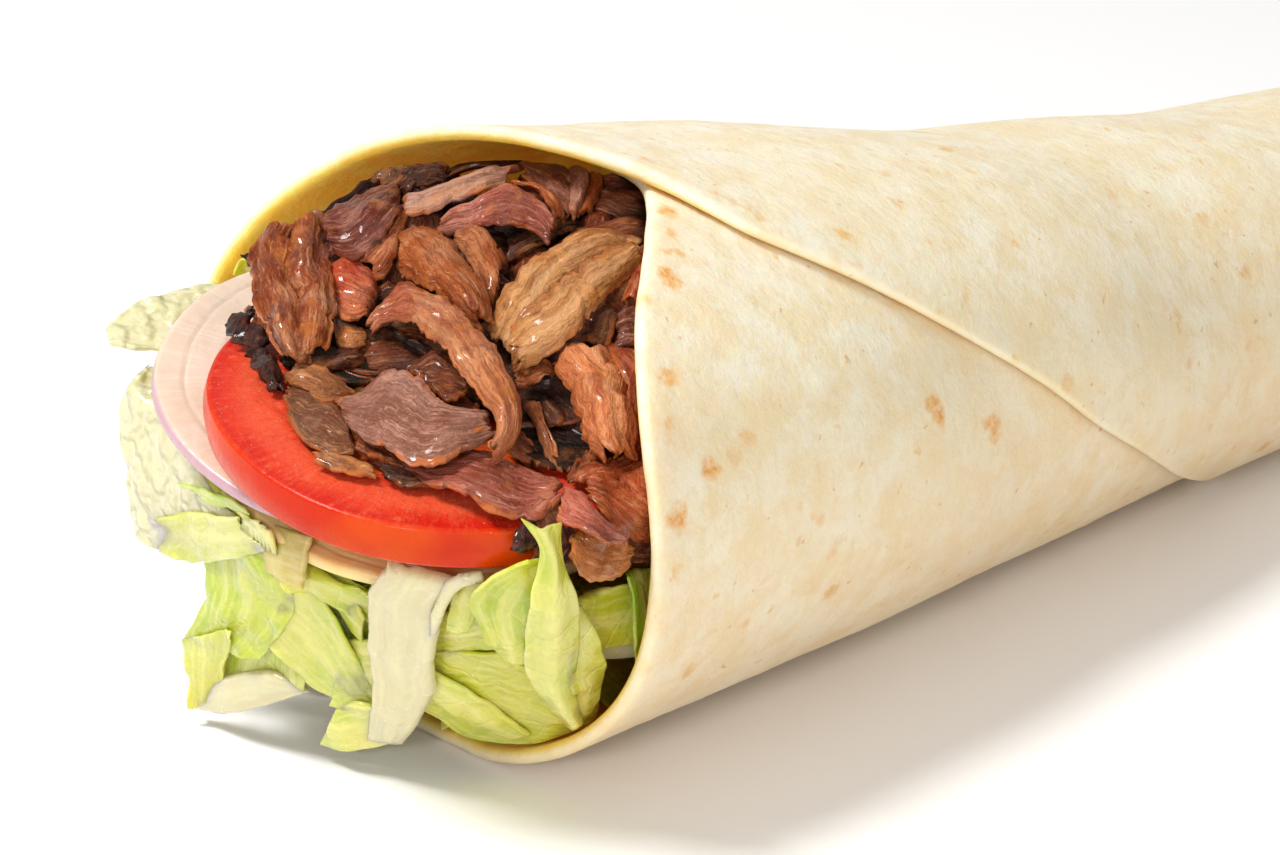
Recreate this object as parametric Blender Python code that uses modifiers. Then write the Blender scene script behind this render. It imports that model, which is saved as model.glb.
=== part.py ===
"""Doner kebab wrap: a flour tortilla rolled one and a half turns round shaved
meat, a tomato slice, two onion slices and lettuce.  Metres, +Z up.  The wrap
lies along X, its open mouth at -X and its pressed tail at +X."""
import math

import bmesh
import bpy
import numpy as np

MM = 0.001

# ---------------------------------------------------------------- dimensions
# all driving sizes are in millimetres

# the part's frame: the mouth plane of the roll lies at x = MOUTH_X
MOUTH_X = -96.1
MOUTH_Y = 0.0

# tortilla
WRAP_LENGTH = 222.0           # mouth plane to tail edge
SHEET = 2.0                   # thickness of the flatbread
PLY_PITCH = 2.5               # outer ply over inner ply
FLAT_CUT = 1.2                # how far the underside is pressed flat
SECTION_POWER = 2.13          # superellipse exponent of the roll's section
STATION_X = (0.0, 42.5, 85.0, 127.5, 170.0, 212.5, 255.0)
HALF_WIDTH = (44.3, 40.8, 34.4, 27.6, 24.6, 23.6, 23.0)
HALF_HEIGHT = (37.3, 33.65, 28.8, 24.7, 22.3, 20.4, 19.0)
TAIL_START = 178.0            # where the roll begins to be pressed flat
TAIL_HALF_HEIGHT = 2.6
TAIL_CENTRE_Z = 8.0
INNER_EDGE = -215.0           # wrap angle of the sheet's hidden edge
OUTER_EDGE = 318.0            # wrap angle of the free flap edge
PLY_LIFT = (95.0, 140.0)      # the sheet climbs onto itself between these
NEAR_RIM = (33.4, 7.88)       # depth and power of the inner ply's rim
# how far the rim of the outer ply lies behind the mouth plane
FLAP_ANGLE = (90.0, 100.0, 120.0, 140.0, 160.0, 180.0, 200.0, 212.0,
              225.0, 240.0, 255.0, 270.0, 285.0, 300.0, 318.0)
FLAP_RIM = (0.0, 0.8, 5.8, 13.4, 19.0, 23.2, 29.1, 34.1,
            45.3, 60.1, 75.0, 87.4, 100.9, 113.4, 128.5)

# slices: centre, radius, thickness, tilt from level and its compass direction
TOMATO = dict(centre=(0.0, -10.0, 47.8), radius=30.2, thick=5.3, tilt=10.84, heading=248.4)
ONION_UPPER = dict(centre=(2.6, 7.5, 43.1), radius=28.4, thick=1.8, tilt=17.3, heading=254.5)
ONION_LOWER = dict(centre=(4.4, -1.5, 36.6), radius=27.0, thick=1.8, tilt=13.8, heading=248.0)
CLEAR = 0.4                   # gap between neighbouring pieces

# fillings
WALL_GAP = 0.7                # fillings to the inside of the sheet
FILL_END = 197.0
# axis of each filling: sideways offset at the mouth, height in half heights
MEAT_CENTRE = (-2.0, 0.58)
MEAT_BULGE = -8.0             # foremost point of the meat
LETTUCE_CENTRE = (6.0, -0.54)
LETTUCE_BULGE = -19.0         # how far the salad hangs out of the mouth
TABLE_GAP = 0.5


# ------------------------------------------------------------ small functions
def smooth(lo, hi, x):
    t = np.clip((np.asarray(x, float) - lo) / (hi - lo), 0.0, 1.0)
    return t * t * (3.0 - 2.0 * t)


def through(xs, ys, x):
    """Smooth monotone curve through a few stations."""
    xs, ys = np.asarray(xs, float), np.asarray(ys, float)
    step = np.diff(ys) / np.diff(xs)
    slope = np.zeros(len(xs))
    slope[0], slope[-1] = step[0], step[-1]
    same = step[:-1] * step[1:] > 0
    slope[1:-1][same] = 2.0 * step[:-1][same] * step[1:][same] / (step[:-1] + step[1:])[same]
    x = np.clip(np.asarray(x, float), xs[0], xs[-1])
    i = np.clip(np.searchsorted(xs, x) - 1, 0, len(xs) - 2)
    h = xs[i + 1] - xs[i]
    t = (x - xs[i]) / h
    return (ys[i] * (1 + 2 * t) * (1 - t) ** 2 + slope[i] * h * t * (1 - t) ** 2
            + ys[i + 1] * t * t * (3 - 2 * t) + slope[i + 1] * h * t * t * (t - 1))


def half_axes(x):
    """Half width, half height and centre height of the roll at station x."""
    a = through(STATION_X, HALF_WIDTH, x)
    b = through(STATION_X, HALF_HEIGHT, x)
    s = smooth(TAIL_START, WRAP_LENGTH, x)
    zc = (b - FLAT_CUT) * (1 - s) + TAIL_CENTRE_Z * s
    b = b * (1 - s) + TAIL_HALF_HEIGHT * s
    return a, b, zc


def ripple(turn, x):
    """Slow unevenness of the bread, shared by both plies."""
    fade = 1.0 - smooth(TAIL_START - 20, WRAP_LENGTH, x)
    top = 0.5 + 0.5 * np.cos(turn)
    return 0.45 * fade * top * (np.sin(0.11 * x + 2.0 * turn) + 0.6 * np.sin(0.061 * x - 3.0 * turn + 1.3))


def roll_point(angle, x, out):
    """Point of the roll: wrap angle in degrees (0 underneath, 90 on the +Y
    side, 180 on top), station x, and distance out from the inner ply's skin."""
    turn = np.radians(180.0 - angle)          # measured from the top
    a, b, zc = half_axes(x)
    grow = out + ripple(turn, x)
    a, b = a + grow, b + grow
    s, c = np.sin(turn), np.cos(turn)
    r = (np.abs(s) ** SECTION_POWER + np.abs(c) ** SECTION_POWER) ** (-1.0 / SECTION_POWER)
    y, z = a * s * r, zc + b * c * r
    return y, np.maximum(z, np.maximum(-out, 0.0))


def rim_station(angle):
    """Where the sheet's mouth edge lies, for a wrap angle."""
    angle = np.asarray(angle, float)
    depth, power = NEAR_RIM
    near = depth * ((1 + np.cos(np.radians(180.0 - angle))) / 2) ** power
    hidden = depth + 0.02 * (-180.0 - angle) ** 2
    flap = through(FLAP_ANGLE, FLAP_RIM, angle)
    return np.where(angle < -180, hidden, np.where(angle < 0, near, flap))


def ply_height(angle):
    return PLY_PITCH * smooth(PLY_LIFT[0], PLY_LIFT[1], angle)


# -------------------------------------------------------------- scene helpers
for old in list(bpy.data.objects):
    bpy.data.objects.remove(old, do_unlink=True)

parts = bpy.data.collections.new("doner_kebab_wrap")
cutters = bpy.data.collections.new("cutters")
bpy.context.scene.collection.children.link(parts)
bpy.context.scene.collection.children.link(cutters)

origin = bpy.data.objects.new("mouth_frame", None)
origin.location = (MOUTH_X * MM, MOUTH_Y * MM, 0.0)
parts.objects.link(origin)


def material(name, colour, rough):
    mat = bpy.data.materials.new(name)
    mat.use_nodes = True
    shader = mat.node_tree.nodes["Principled BSDF"]
    shader.inputs["Base Color"].default_value = (*colour, 1.0)
    shader.inputs["Roughness"].default_value = rough
    shader.inputs["Metallic"].default_value = 0.0
    return mat


def add_object(name, bm, mat, collection=None, sharp=35.0):
    mesh = bpy.data.meshes.new(name)
    bmesh.ops.recalc_face_normals(bm, faces=bm.faces[:])
    bm.to_mesh(mesh)
    bm.free()
    mesh.shade_smooth()
    mesh.set_sharp_from_angle(angle=math.radians(sharp))
    obj = bpy.data.objects.new(name, mesh)
    if mat:
        obj.data.materials.append(mat)
    (collection or parts).objects.link(obj)
    obj.parent = origin
    return obj


# ------------------------------------------------------------------- tortilla
def make_tortilla():
    columns = 54
    front_rows = 8
    tail_rows = (160.0, 170.0, 178.0, 185.0, 191.0, 197.0, 203.0, 209.0, 215.5, WRAP_LENGTH)
    rows = front_rows + len(tail_rows) - 1
    bm = bmesh.new()
    # a flat square of dough of unit size, given its thickness while flat
    bmesh.ops.create_grid(bm, x_segments=columns, y_segments=rows, size=0.5)
    bmesh.ops.solidify(bm, geom=bm.verts[:] + bm.edges[:] + bm.faces[:], thickness=0.01)
    lo = min(v.co.z for v in bm.verts)
    hi = max(v.co.z for v in bm.verts)
    weight = bm.edges.layers.float.new("bevel_weight_edge")
    for edge in bm.edges:
        edge[weight] = 0.0
        if len(edge.link_faces) == 2:
            f, g = edge.link_faces
            if abs(f.normal.dot(g.normal)) < 0.1:
                edge[weight] = 1.0
    for edge in bm.edges:                       # not the four upright corners
        if abs(edge.verts[0].co.z - edge.verts[1].co.z) > 0.5 * (hi - lo):
            edge[weight] = 0.0
    # then rolled up: each point goes to its wrap angle, station and ply
    for v in bm.verts:
        u = v.co.x + 0.5
        row = (v.co.y + 0.5) * rows
        depth = (hi - v.co.z) / (hi - lo)       # 0 outer skin, 1 inner skin
        angle = INNER_EDGE + (OUTER_EDGE - INNER_EDGE) * u
        if row <= front_rows:
            x0 = float(rim_station(angle))
            x = x0 + (tail_rows[0] - x0) * row / front_rows
        else:
            x = tail_rows[int(round(row - front_rows))]
        y, z = roll_point(angle, x, float(ply_height(angle)) - SHEET * depth)
        v.co = (x * MM, float(y) * MM, float(z) * MM)
    obj = add_object("tortilla", bm, material("tortilla", (0.86, 0.74, 0.54), 0.65), sharp=50)
    bevel = obj.modifiers.new("rounded_rim", 'BEVEL')
    bevel.limit_method = 'WEIGHT'
    bevel.width = 0.45 * MM
    bevel.segments = 1
    return obj


# --------------------------------------------------------------------- slices
def slice_frame(spec):
    a, b = math.radians(spec["tilt"]), math.radians(spec["heading"])
    n = np.array([math.sin(a) * math.cos(b), math.sin(a) * math.sin(b), math.cos(a)])
    u = np.cross(np.array([0.0, 0.0, 1.0]), n)
    u /= np.linalg.norm(u)
    return n, u, np.cross(n, u)


def slice_plane(spec, depth):
    """The level z = p0 + px*x + py*y of a face lying depth below the top."""
    n, _, _ = slice_frame(spec)
    c = np.array(spec["centre"]) - n * depth
    return (float(n @ c) / n[2], -n[0] / n[2], -n[1] / n[2])


def turned_slice(name, spec, profile, mat, segments=48, collection=None, outline=None):
    """A flat slice turned from a half profile of (radius, height) points."""
    n, u, w = slice_frame(spec)
    bm = bmesh.new()
    verts = [bm.verts.new((r, 0.0, h)) for r, h in profile]
    edges = [bm.edges.new(pair) for pair in zip(verts, verts[1:])]
    bmesh.ops.spin(bm, geom=verts + edges, cent=(0, 0, 0), axis=(0, 0, 1), dvec=(0, 0, 0),
                   angle=2 * math.pi, steps=segments, use_merge=True)
    bmesh.ops.remove_doubles(bm, verts=bm.verts[:], dist=1e-4)
    centre = np.array(spec["centre"])
    for v in bm.verts:
        x, y, z = v.co
        k = 1.0
        if outline is not None:
            k = outline(math.atan2(y, x))
        p = centre + (u * x + w * y) * k + n * z
        v.co = [float(q) * MM for q in p]
    return add_object(name, bm, mat, collection)


def disc_profile(radius, thick, round_edge, rings=1):
    """Flat top, rounded rim and flat underside, from axis to axis."""
    pts = [(radius * 0.999 * k / rings * (1 - round_edge / radius), 0.0) for k in range(rings)]
    steps = 2
    pts += [(radius - round_edge * (1 - math.sin(math.pi / 2 * k / steps)),
             -round_edge * (1 - math.cos(math.pi / 2 * k / steps))) for k in range(steps + 1)]
    return pts + [(r, -thick - h) for r, h in reversed(pts)]


def tomato_outline(a):
    return 1.0 + 0.006 * math.sin(5 * a + 0.6) + 0.004 * math.sin(3 * a)


def onion_outline(a):
    return 1.0 + 0.010 * math.sin(2 * a + 0.4) + 0.005 * math.sin(7 * a)


def inflated(spec, by):
    n, _, _ = slice_frame(spec)
    big = dict(spec)
    big["centre"] = tuple(np.array(spec["centre"]) + n * by)
    big["radius"] = spec["radius"] * 1.02 + by
    big["thick"] = spec["thick"] + 2 * by
    return big


def cutter_for(spec):
    big = inflated(spec, CLEAR)
    obj = turned_slice("cut_" + str(len(cutters.objects)), big,
                       disc_profile(big["radius"], big["thick"], 0.3), None, 40, cutters)
    obj.hide_render = True
    obj.display_type = 'WIRE'
    return obj


# ------------------------------------------------------------------- fillings
def wall_reach(x, cy, cz, dy, dz):
    """Distance from (cy, cz) along (dy, dz) to the filling's limit inside the
    sheet at station x."""
    xw = np.maximum(x, 2.0)
    a, b, zc = half_axes(xw)
    inset = SHEET + WALL_GAP
    lo, hi = np.zeros_like(dy), np.full_like(dy, 120.0)
    for _ in range(40):
        mid = (lo + hi) / 2
        y, z = cy + mid * dy, cz + mid * dz
        turn = np.arctan2(y / a, (z - zc) / b)
        aa, bb = a - inset + ripple(turn, xw), b - inset + ripple(turn, xw)
        inside = ((np.abs(y) / aa) ** SECTION_POWER + (np.abs(z - zc) / bb) ** SECTION_POWER < 1.0)
        inside &= z > inset
        lo, hi = np.where(inside, mid, lo), np.where(inside, hi, mid)
    return lo


def plane_reach(plane, side, x, cy, cz, dy, dz):
    """Distance to a sloping level; side +1 keeps above it, -1 below it."""
    p0, px, py = plane
    gap = side * (cz - (p0 + px * x + py * cy))
    rate = side * (py * dy - dz)
    return np.where(rate > 1e-6, np.maximum(gap, 0.5) / np.maximum(rate, 1e-6), 999.0)


def soft_min(a, b, k=2.0):
    h = np.clip(0.5 + 0.5 * (b - a) / k, 0, 1)
    return np.minimum(a, b * (1 - h) + a * h - k * h * (1 - h))


def loft(name, rings, mat, sharp=60.0):
    """Closed loft through rings of points, with a point at each end."""
    bm = bmesh.new()
    rows = [[bm.verts.new([float(q) * MM for q in p]) for p in ring] for ring in rings]
    count = len(rings[0])
    for r0, r1 in zip(rows, rows[1:]):
        for i in range(count):
            j = (i + 1) % count
            bm.faces.new((r0[i], r0[j], r1[j], r1[i]))
    for ring in (rows[0], rows[-1]):
        mid = bm.verts.new(tuple(sum(v.co[k] for v in ring) / count for k in range(3)))
        for i in range(count):
            bm.faces.new((ring[i], ring[(i + 1) % count], mid))
    return add_object(name, bm, mat, sharp=sharp)


def interface_height(x):
    """Level where meat and lettuce meet behind the slices."""
    _, b, zc = half_axes(x)
    return np.where(x < 60, 35.0, 35.0 + (zc - 35.0) * smooth(60, 150, x))


def filling(name, centre, reach, edge_station, front, rough, mat, count=40, rows=11):
    """A bundle that runs through the roll.  reach gives its outline at each
    station, edge_station where the outline starts at the mouth, front the
    bulging uneven face between."""
    cy0, lift = centre
    cz0 = float(half_axes(0.0)[2] + lift * half_axes(0.0)[1])
    ang = np.arange(count) * 2 * math.pi / count
    dy, dz = np.sin(ang), np.cos(ang)
    xe = edge_station(ang)
    rings = []
    for rho in (0.22, 0.45, 0.66, 0.84):
        r = reach(xe, cy0 + 0 * dy, cz0 + 0 * dz, dy, dz) * rho
        y, z = cy0 + r * dy, cz0 + r * dz
        rings.append(np.stack([front(y, z, xe, rho), y, z], 1))
    for k in range(rows + 1):
        w = k / rows
        x = xe + (FILL_END - 8.0 - xe) * w
        _, b, zc = half_axes(np.maximum(x, 0.0))
        cy = cy0 * (1 - smooth(40, 185, x))
        cz = zc + lift * b
        r = reach(x, cy, cz, dy, dz) * (1 - rough(ang, x))
        rings.append(np.stack([x, cy + r * dy, cz + r * dz], 1))
    for step, shrink in ((3.5, 0.82), (6.5, 0.52), (8.0, 0.22)):
        x = np.full_like(ang, FILL_END - 8.0 + step)
        _, b, zc = half_axes(x)
        r = reach(x, 0 * x, zc + lift * b, dy, dz) * shrink
        rings.append(np.stack([x, r * dy, zc + lift * b + r * dz], 1))
    return rings


def make_meat(mat):
    top = slice_plane(TOMATO, -CLEAR - 0.1)

    def reach(x, cy, cz, dy, dz):
        wall = wall_reach(x, cy, cz, dy, dz)
        over = plane_reach(top, 1, x, cy, cz, dy, dz)
        level = interface_height(x) + 0.3
        below = plane_reach((level, 0.0, 0.0), 1, x, cy, cz, dy, dz)
        mix = smooth(46, 62, x)
        floor = np.where(x < 46, over, over * (1 - mix) + below * mix)
        return np.maximum(soft_min(wall, floor), 1.5)

    def edge_station(ang):
        # ang is measured from the top, + towards +Y: follow the two rims
        deg = np.degrees((ang + math.pi) % (2 * math.pi) - math.pi)
        near = NEAR_RIM[0] * ((1 + np.cos(np.radians(np.clip(deg, -180, 0)))) / 2) ** NEAR_RIM[1]
        far = through(FLAP_ANGLE, FLAP_RIM, 180.0 - np.clip(deg, 0, 90))
        low = smooth(95, 130, np.abs(deg))
        rim = np.where(deg < 0, np.minimum(near, 22.0), far)
        return rim * (1 - low) + 2.5 * (1 - low) - 9.0 * low

    def front(y, z, xe, rho):
        lump = 2.2 * np.sin(0.33 * y + 0.9) * np.cos(0.29 * z) + 1.3 * np.sin(0.61 * z - 0.4 * y)
        return MEAT_BULGE + (xe - MEAT_BULGE) * rho ** 2 + lump * (1 - rho ** 3)

    def rough(ang, x):
        wave = np.sin(5 * ang + 0.16 * x) + 0.8 * np.sin(9 * ang - 0.22 * x + 1.0) + 0.6 * np.sin(13 * ang + 0.35 * x)
        return 0.03 + 0.018 * (wave + 1.6) * (1 - smooth(150, 190, x) * 0.5)

    rings = filling("meat", MEAT_CENTRE, reach, edge_station, front, rough, mat, count=44, rows=12)
    return loft("meat", rings, mat)


def make_lettuce(mat):
    under = slice_plane(ONION_LOWER, ONION_LOWER["thick"] + CLEAR + 0.1)

    def reach(x, cy, cz, dy, dz):
        wall = wall_reach(x, cy, cz, dy, dz)
        cap = plane_reach(under, -1, x, cy, cz, dy, dz)
        level = interface_height(x) - 0.3
        cap2 = plane_reach((level, 0.0, 0.0), -1, x, cy, cz, dy, dz)
        mix = smooth(46, 62, x)
        roof = np.where(x < 46, cap, cap * (1 - mix) + cap2 * mix)
        r = np.maximum(soft_min(wall, roof), 1.5)
        # a leaf curls up beside the slices on the +Y side of the mouth
        a = np.arctan2(dy, dz)
        lobe = np.exp(-((a - math.radians(40)) / math.radians(13)) ** 2) * (1 - smooth(-14, -9, x))
        return r + (38.0 - np.minimum(r, 38.0)) * lobe

    def edge_station(ang):
        deg = np.degrees((ang + math.pi) % (2 * math.pi) - math.pi)
        far = -19.0 + 0.0 * deg
        near = 8.0
        side = smooth(-150, -75, deg) * (1 - smooth(-40, 20, deg))
        return far * (1 - side) + near * side + 2.0 * np.sin(4 * ang)

    def front(y, z, xe, rho):
        lump = 2.6 * np.sin(0.30 * y + 0.4) * np.cos(0.26 * z + 0.5) + 1.6 * np.sin(0.5 * z + 0.3 * y)
        return LETTUCE_BULGE + (xe - LETTUCE_BULGE) * rho ** 1.6 + lump * (1 - rho ** 3)

    def rough(ang, x):
        wave = np.sin(4 * ang - 0.13 * x) + 0.8 * np.sin(7 * ang + 0.19 * x + 2.0) + 0.7 * np.sin(12 * ang + 0.1 * x)
        return 0.03 + 0.020 * (wave + 1.7) * (1 - smooth(150, 190, x) * 0.5)

    rings = filling("lettuce", LETTUCE_CENTRE, reach, edge_station, front, rough, mat, count=44, rows=12)
    obj = loft("lettuce", rings, mat)
    for spec in (TOMATO, ONION_UPPER, ONION_LOWER):
        cut = obj.modifiers.new("room_for_slice", 'BOOLEAN')
        cut.operation = 'DIFFERENCE'
        cut.solver = 'EXACT'
        cut.object = cutter_for(spec)
    return obj


make_tortilla()
make_meat(material("meat", (0.27, 0.10, 0.05), 0.5))
make_lettuce(material("lettuce", (0.56, 0.66, 0.16), 0.45))
turned_slice("tomato_slice", TOMATO, disc_profile(TOMATO["radius"], TOMATO["thick"], 0.9),
             material("tomato", (0.78, 0.07, 0.03), 0.3), 48, outline=tomato_outline)
turned_slice("onion_slice_upper", ONION_UPPER,
             disc_profile(ONION_UPPER["radius"], ONION_UPPER["thick"], 0.6),
             material("onion", (0.85, 0.78, 0.74), 0.35), 44, outline=onion_outline)
turned_slice("onion_slice_lower", ONION_LOWER,
             disc_profile(ONION_LOWER["radius"], ONION_LOWER["thick"], 0.6),
             bpy.data.materials["onion"], 44, outline=onion_outline)
bpy.context.view_layer.update()
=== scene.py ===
import math

import bpy
import numpy as np
from mathutils import Matrix, Vector


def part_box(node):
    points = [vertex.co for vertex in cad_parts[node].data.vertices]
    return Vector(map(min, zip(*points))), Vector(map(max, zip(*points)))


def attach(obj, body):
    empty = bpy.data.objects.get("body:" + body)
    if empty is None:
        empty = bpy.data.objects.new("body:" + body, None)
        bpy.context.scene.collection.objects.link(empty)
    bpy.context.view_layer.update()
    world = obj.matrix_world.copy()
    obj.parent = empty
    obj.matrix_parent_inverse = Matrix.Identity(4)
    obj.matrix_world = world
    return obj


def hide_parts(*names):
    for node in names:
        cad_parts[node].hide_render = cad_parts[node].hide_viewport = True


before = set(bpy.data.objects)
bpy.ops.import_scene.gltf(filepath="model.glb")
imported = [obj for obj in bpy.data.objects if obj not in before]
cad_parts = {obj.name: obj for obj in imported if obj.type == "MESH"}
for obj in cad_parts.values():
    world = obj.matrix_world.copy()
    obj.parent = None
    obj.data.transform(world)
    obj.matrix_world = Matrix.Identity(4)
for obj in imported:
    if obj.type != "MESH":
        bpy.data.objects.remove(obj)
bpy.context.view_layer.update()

MM = 0.001

# ------------------------------------------------------------------ the roll
# The same roll as the CAD sheet.  Its mouth plane is the low x of the
# tortilla's own box, and its middle line the middle of that box.
WRAP_LENGTH = 222.0
SHEET = 2.0
PLY_PITCH = 2.5
FLAT_CUT = 1.2
POWER = 2.13
STATION_X = (0.0, 42.5, 85.0, 127.5, 170.0, 212.5, 255.0)
HALF_WIDTH = (44.3, 40.8, 34.4, 27.6, 24.6, 23.6, 23.0)
HALF_HEIGHT = (37.3, 33.65, 28.8, 24.7, 22.3, 20.4, 19.0)
TAIL_START = 178.0
TAIL_HALF_HEIGHT = 2.6
TAIL_CENTRE_Z = 8.0
INNER_EDGE = -215.0
OUTER_EDGE = 318.0
PLY_LIFT = (95.0, 140.0)
NEAR_RIM = (33.4, 7.88)
FLAP_ANGLE = (90.0, 100.0, 120.0, 140.0, 160.0, 180.0, 200.0, 212.0,
              225.0, 240.0, 255.0, 270.0, 285.0, 300.0, 318.0)
FLAP_RIM = (0.0, 0.8, 5.8, 13.4, 19.0, 23.2, 29.1, 34.1,
            45.3, 60.1, 75.0, 87.4, 100.9, 113.4, 128.5)

_lo, _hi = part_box("tortilla")
ORIGIN = np.array([_lo.x, 0.0, 0.0])            # mouth plane, on the table


def smooth(lo, hi, x):
    t = np.clip((np.asarray(x, float) - lo) / (hi - lo), 0.0, 1.0)
    return t * t * (3.0 - 2.0 * t)


def through(xs, ys, x):
    xs, ys = np.asarray(xs, float), np.asarray(ys, float)
    step = np.diff(ys) / np.diff(xs)
    slope = np.zeros(len(xs))
    slope[0], slope[-1] = step[0], step[-1]
    same = step[:-1] * step[1:] > 0
    slope[1:-1][same] = 2.0 * step[:-1][same] * step[1:][same] / (step[:-1] + step[1:])[same]
    x = np.clip(np.asarray(x, float), xs[0], xs[-1])
    i = np.clip(np.searchsorted(xs, x) - 1, 0, len(xs) - 2)
    h = xs[i + 1] - xs[i]
    t = (x - xs[i]) / h
    return (ys[i] * (1 + 2 * t) * (1 - t) ** 2 + slope[i] * h * t * (1 - t) ** 2
            + ys[i + 1] * t * t * (3 - 2 * t) + slope[i + 1] * h * t * t * (t - 1))


def half_axes(x):
    a = through(STATION_X, HALF_WIDTH, x)
    b = through(STATION_X, HALF_HEIGHT, x)
    s = smooth(TAIL_START, WRAP_LENGTH, x)
    zc = (b - FLAT_CUT) * (1 - s) + TAIL_CENTRE_Z * s
    b = b * (1 - s) + TAIL_HALF_HEIGHT * s
    return a, b, zc


def ripple(turn, x):
    fade = 1.0 - smooth(TAIL_START - 20, WRAP_LENGTH, x)
    top = 0.5 + 0.5 * np.cos(turn)
    return 0.45 * fade * top * (np.sin(0.11 * x + 2.0 * turn) + 0.6 * np.sin(0.061 * x - 3.0 * turn + 1.3))


def roll_point(angle, x, out):
    turn = np.radians(180.0 - angle)
    a, b, zc = half_axes(x)
    grow = out + ripple(turn, x)
    a, b = a + grow, b + grow
    s, c = np.sin(turn), np.cos(turn)
    r = (np.abs(s) ** POWER + np.abs(c) ** POWER) ** (-1.0 / POWER)
    y, z = a * s * r, zc + b * c * r
    return np.stack([x + 0 * y, y, np.maximum(z, np.maximum(-out, 0.0))], -1)


def rim_station(angle):
    angle = np.asarray(angle, float)
    depth, power = NEAR_RIM
    near = depth * ((1 + np.cos(np.radians(180.0 - angle))) / 2) ** power
    hidden = depth + 0.02 * (-180.0 - angle) ** 2
    flap = through(FLAP_ANGLE, FLAP_RIM, angle)
    return np.where(angle < -180, hidden, np.where(angle < 0, near, flap))


def ply_height(angle):
    return PLY_PITCH * smooth(PLY_LIFT[0], PLY_LIFT[1], angle)


# ------------------------------------------------------------ noise and mesh
def _hash(ix, iy, iz, seed):
    h = (ix * 374761393 + iy * 668265263 + iz * 2147483647 + seed * 1274126177) & 0xFFFFFFFF
    h = ((h ^ (h >> 13)) * 1274126177) & 0xFFFFFFFF
    h = ((h ^ (h >> 16)) * 2246822519) & 0xFFFFFFFF
    return h ^ (h >> 15)


def noise3(p, seed=0):
    """Gradient noise, about -1 to 1, for points (N, 3)."""
    p = np.asarray(p, float)
    base = np.floor(p).astype(np.int64)
    f = p - base
    w = f * f * f * (f * (f * 6 - 15) + 10)
    total = np.zeros(len(p))
    for dx in (0, 1):
        for dy in (0, 1):
            for dz in (0, 1):
                h = _hash(base[:, 0] + dx, base[:, 1] + dy, base[:, 2] + dz, seed)
                g = np.stack([(h & 1023) / 511.5 - 1, ((h >> 10) & 1023) / 511.5 - 1, ((h >> 20) & 1023) / 511.5 - 1], 1)
                d = f - np.array([dx, dy, dz])
                k = ((w[:, 0] if dx else 1 - w[:, 0]) * (w[:, 1] if dy else 1 - w[:, 1])
                     * (w[:, 2] if dz else 1 - w[:, 2]))
                total += k * (g * d).sum(1)
    return total * 1.15


def fractal(p, seed=0, octaves=3, gain=0.5):
    total, amp, q = 0.0, 1.0, np.asarray(p, float)
    for k in range(octaves):
        total = total + amp * noise3(q, seed + 17 * k)
        amp *= gain
        q = q * 2.03 + 5.1
    return total


def grid_faces(nu, nv, wrap_u=False, wrap_v=False, start=0):
    """Quads of a grid of points, index i * nv + j."""
    iu = np.arange(nu if wrap_u else nu - 1)
    jv = np.arange(nv if wrap_v else nv - 1)
    i, j = np.meshgrid(iu, jv, indexing="ij")
    i2, j2 = (i + 1) % nu, (j + 1) % nv
    return (np.stack([i * nv + j, i2 * nv + j, i2 * nv + j2, i * nv + j2], -1).reshape(-1, 4) + start)


def new_object(name, verts_mm, faces, material, uv=None, attrs=None, smooth_shade=True):
    """A piece from points in millimetres in the mouth frame."""
    verts = np.asarray(verts_mm, float) * MM + ORIGIN
    mesh = bpy.data.meshes.new(name)
    faces = np.asarray(faces)
    mesh.vertices.add(len(verts))
    mesh.vertices.foreach_set("co", verts.astype(np.float32).ravel())
    n = faces.shape[1]
    mesh.loops.add(len(faces) * n)
    mesh.loops.foreach_set("vertex_index", faces.astype(np.int32).ravel())
    mesh.polygons.add(len(faces))
    mesh.polygons.foreach_set("loop_start", np.arange(0, len(faces) * n, n, dtype=np.int32))
    mesh.polygons.foreach_set("loop_total", np.full(len(faces), n, dtype=np.int32))
    mesh.update(calc_edges=True)
    if uv is not None:
        layer = mesh.uv_layers.new(name="UVMap")
        layer.data.foreach_set("uv", np.asarray(uv, np.float32)[faces.ravel()].ravel())
    for key, values in (attrs or {}).items():
        values = np.asarray(values, np.float32)
        if values.ndim == 1:
            mesh.attributes.new(key, 'FLOAT', 'POINT').data.foreach_set("value", values)
        else:
            mesh.attributes.new(key, 'FLOAT_VECTOR', 'POINT').data.foreach_set("vector", values.ravel())
    mesh.validate()
    if smooth_shade:
        mesh.shade_smooth()
    obj = bpy.data.objects.new(name, mesh)
    bpy.context.scene.collection.objects.link(obj)
    mesh.materials.append(material)
    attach(obj, "root")
    return obj


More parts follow.
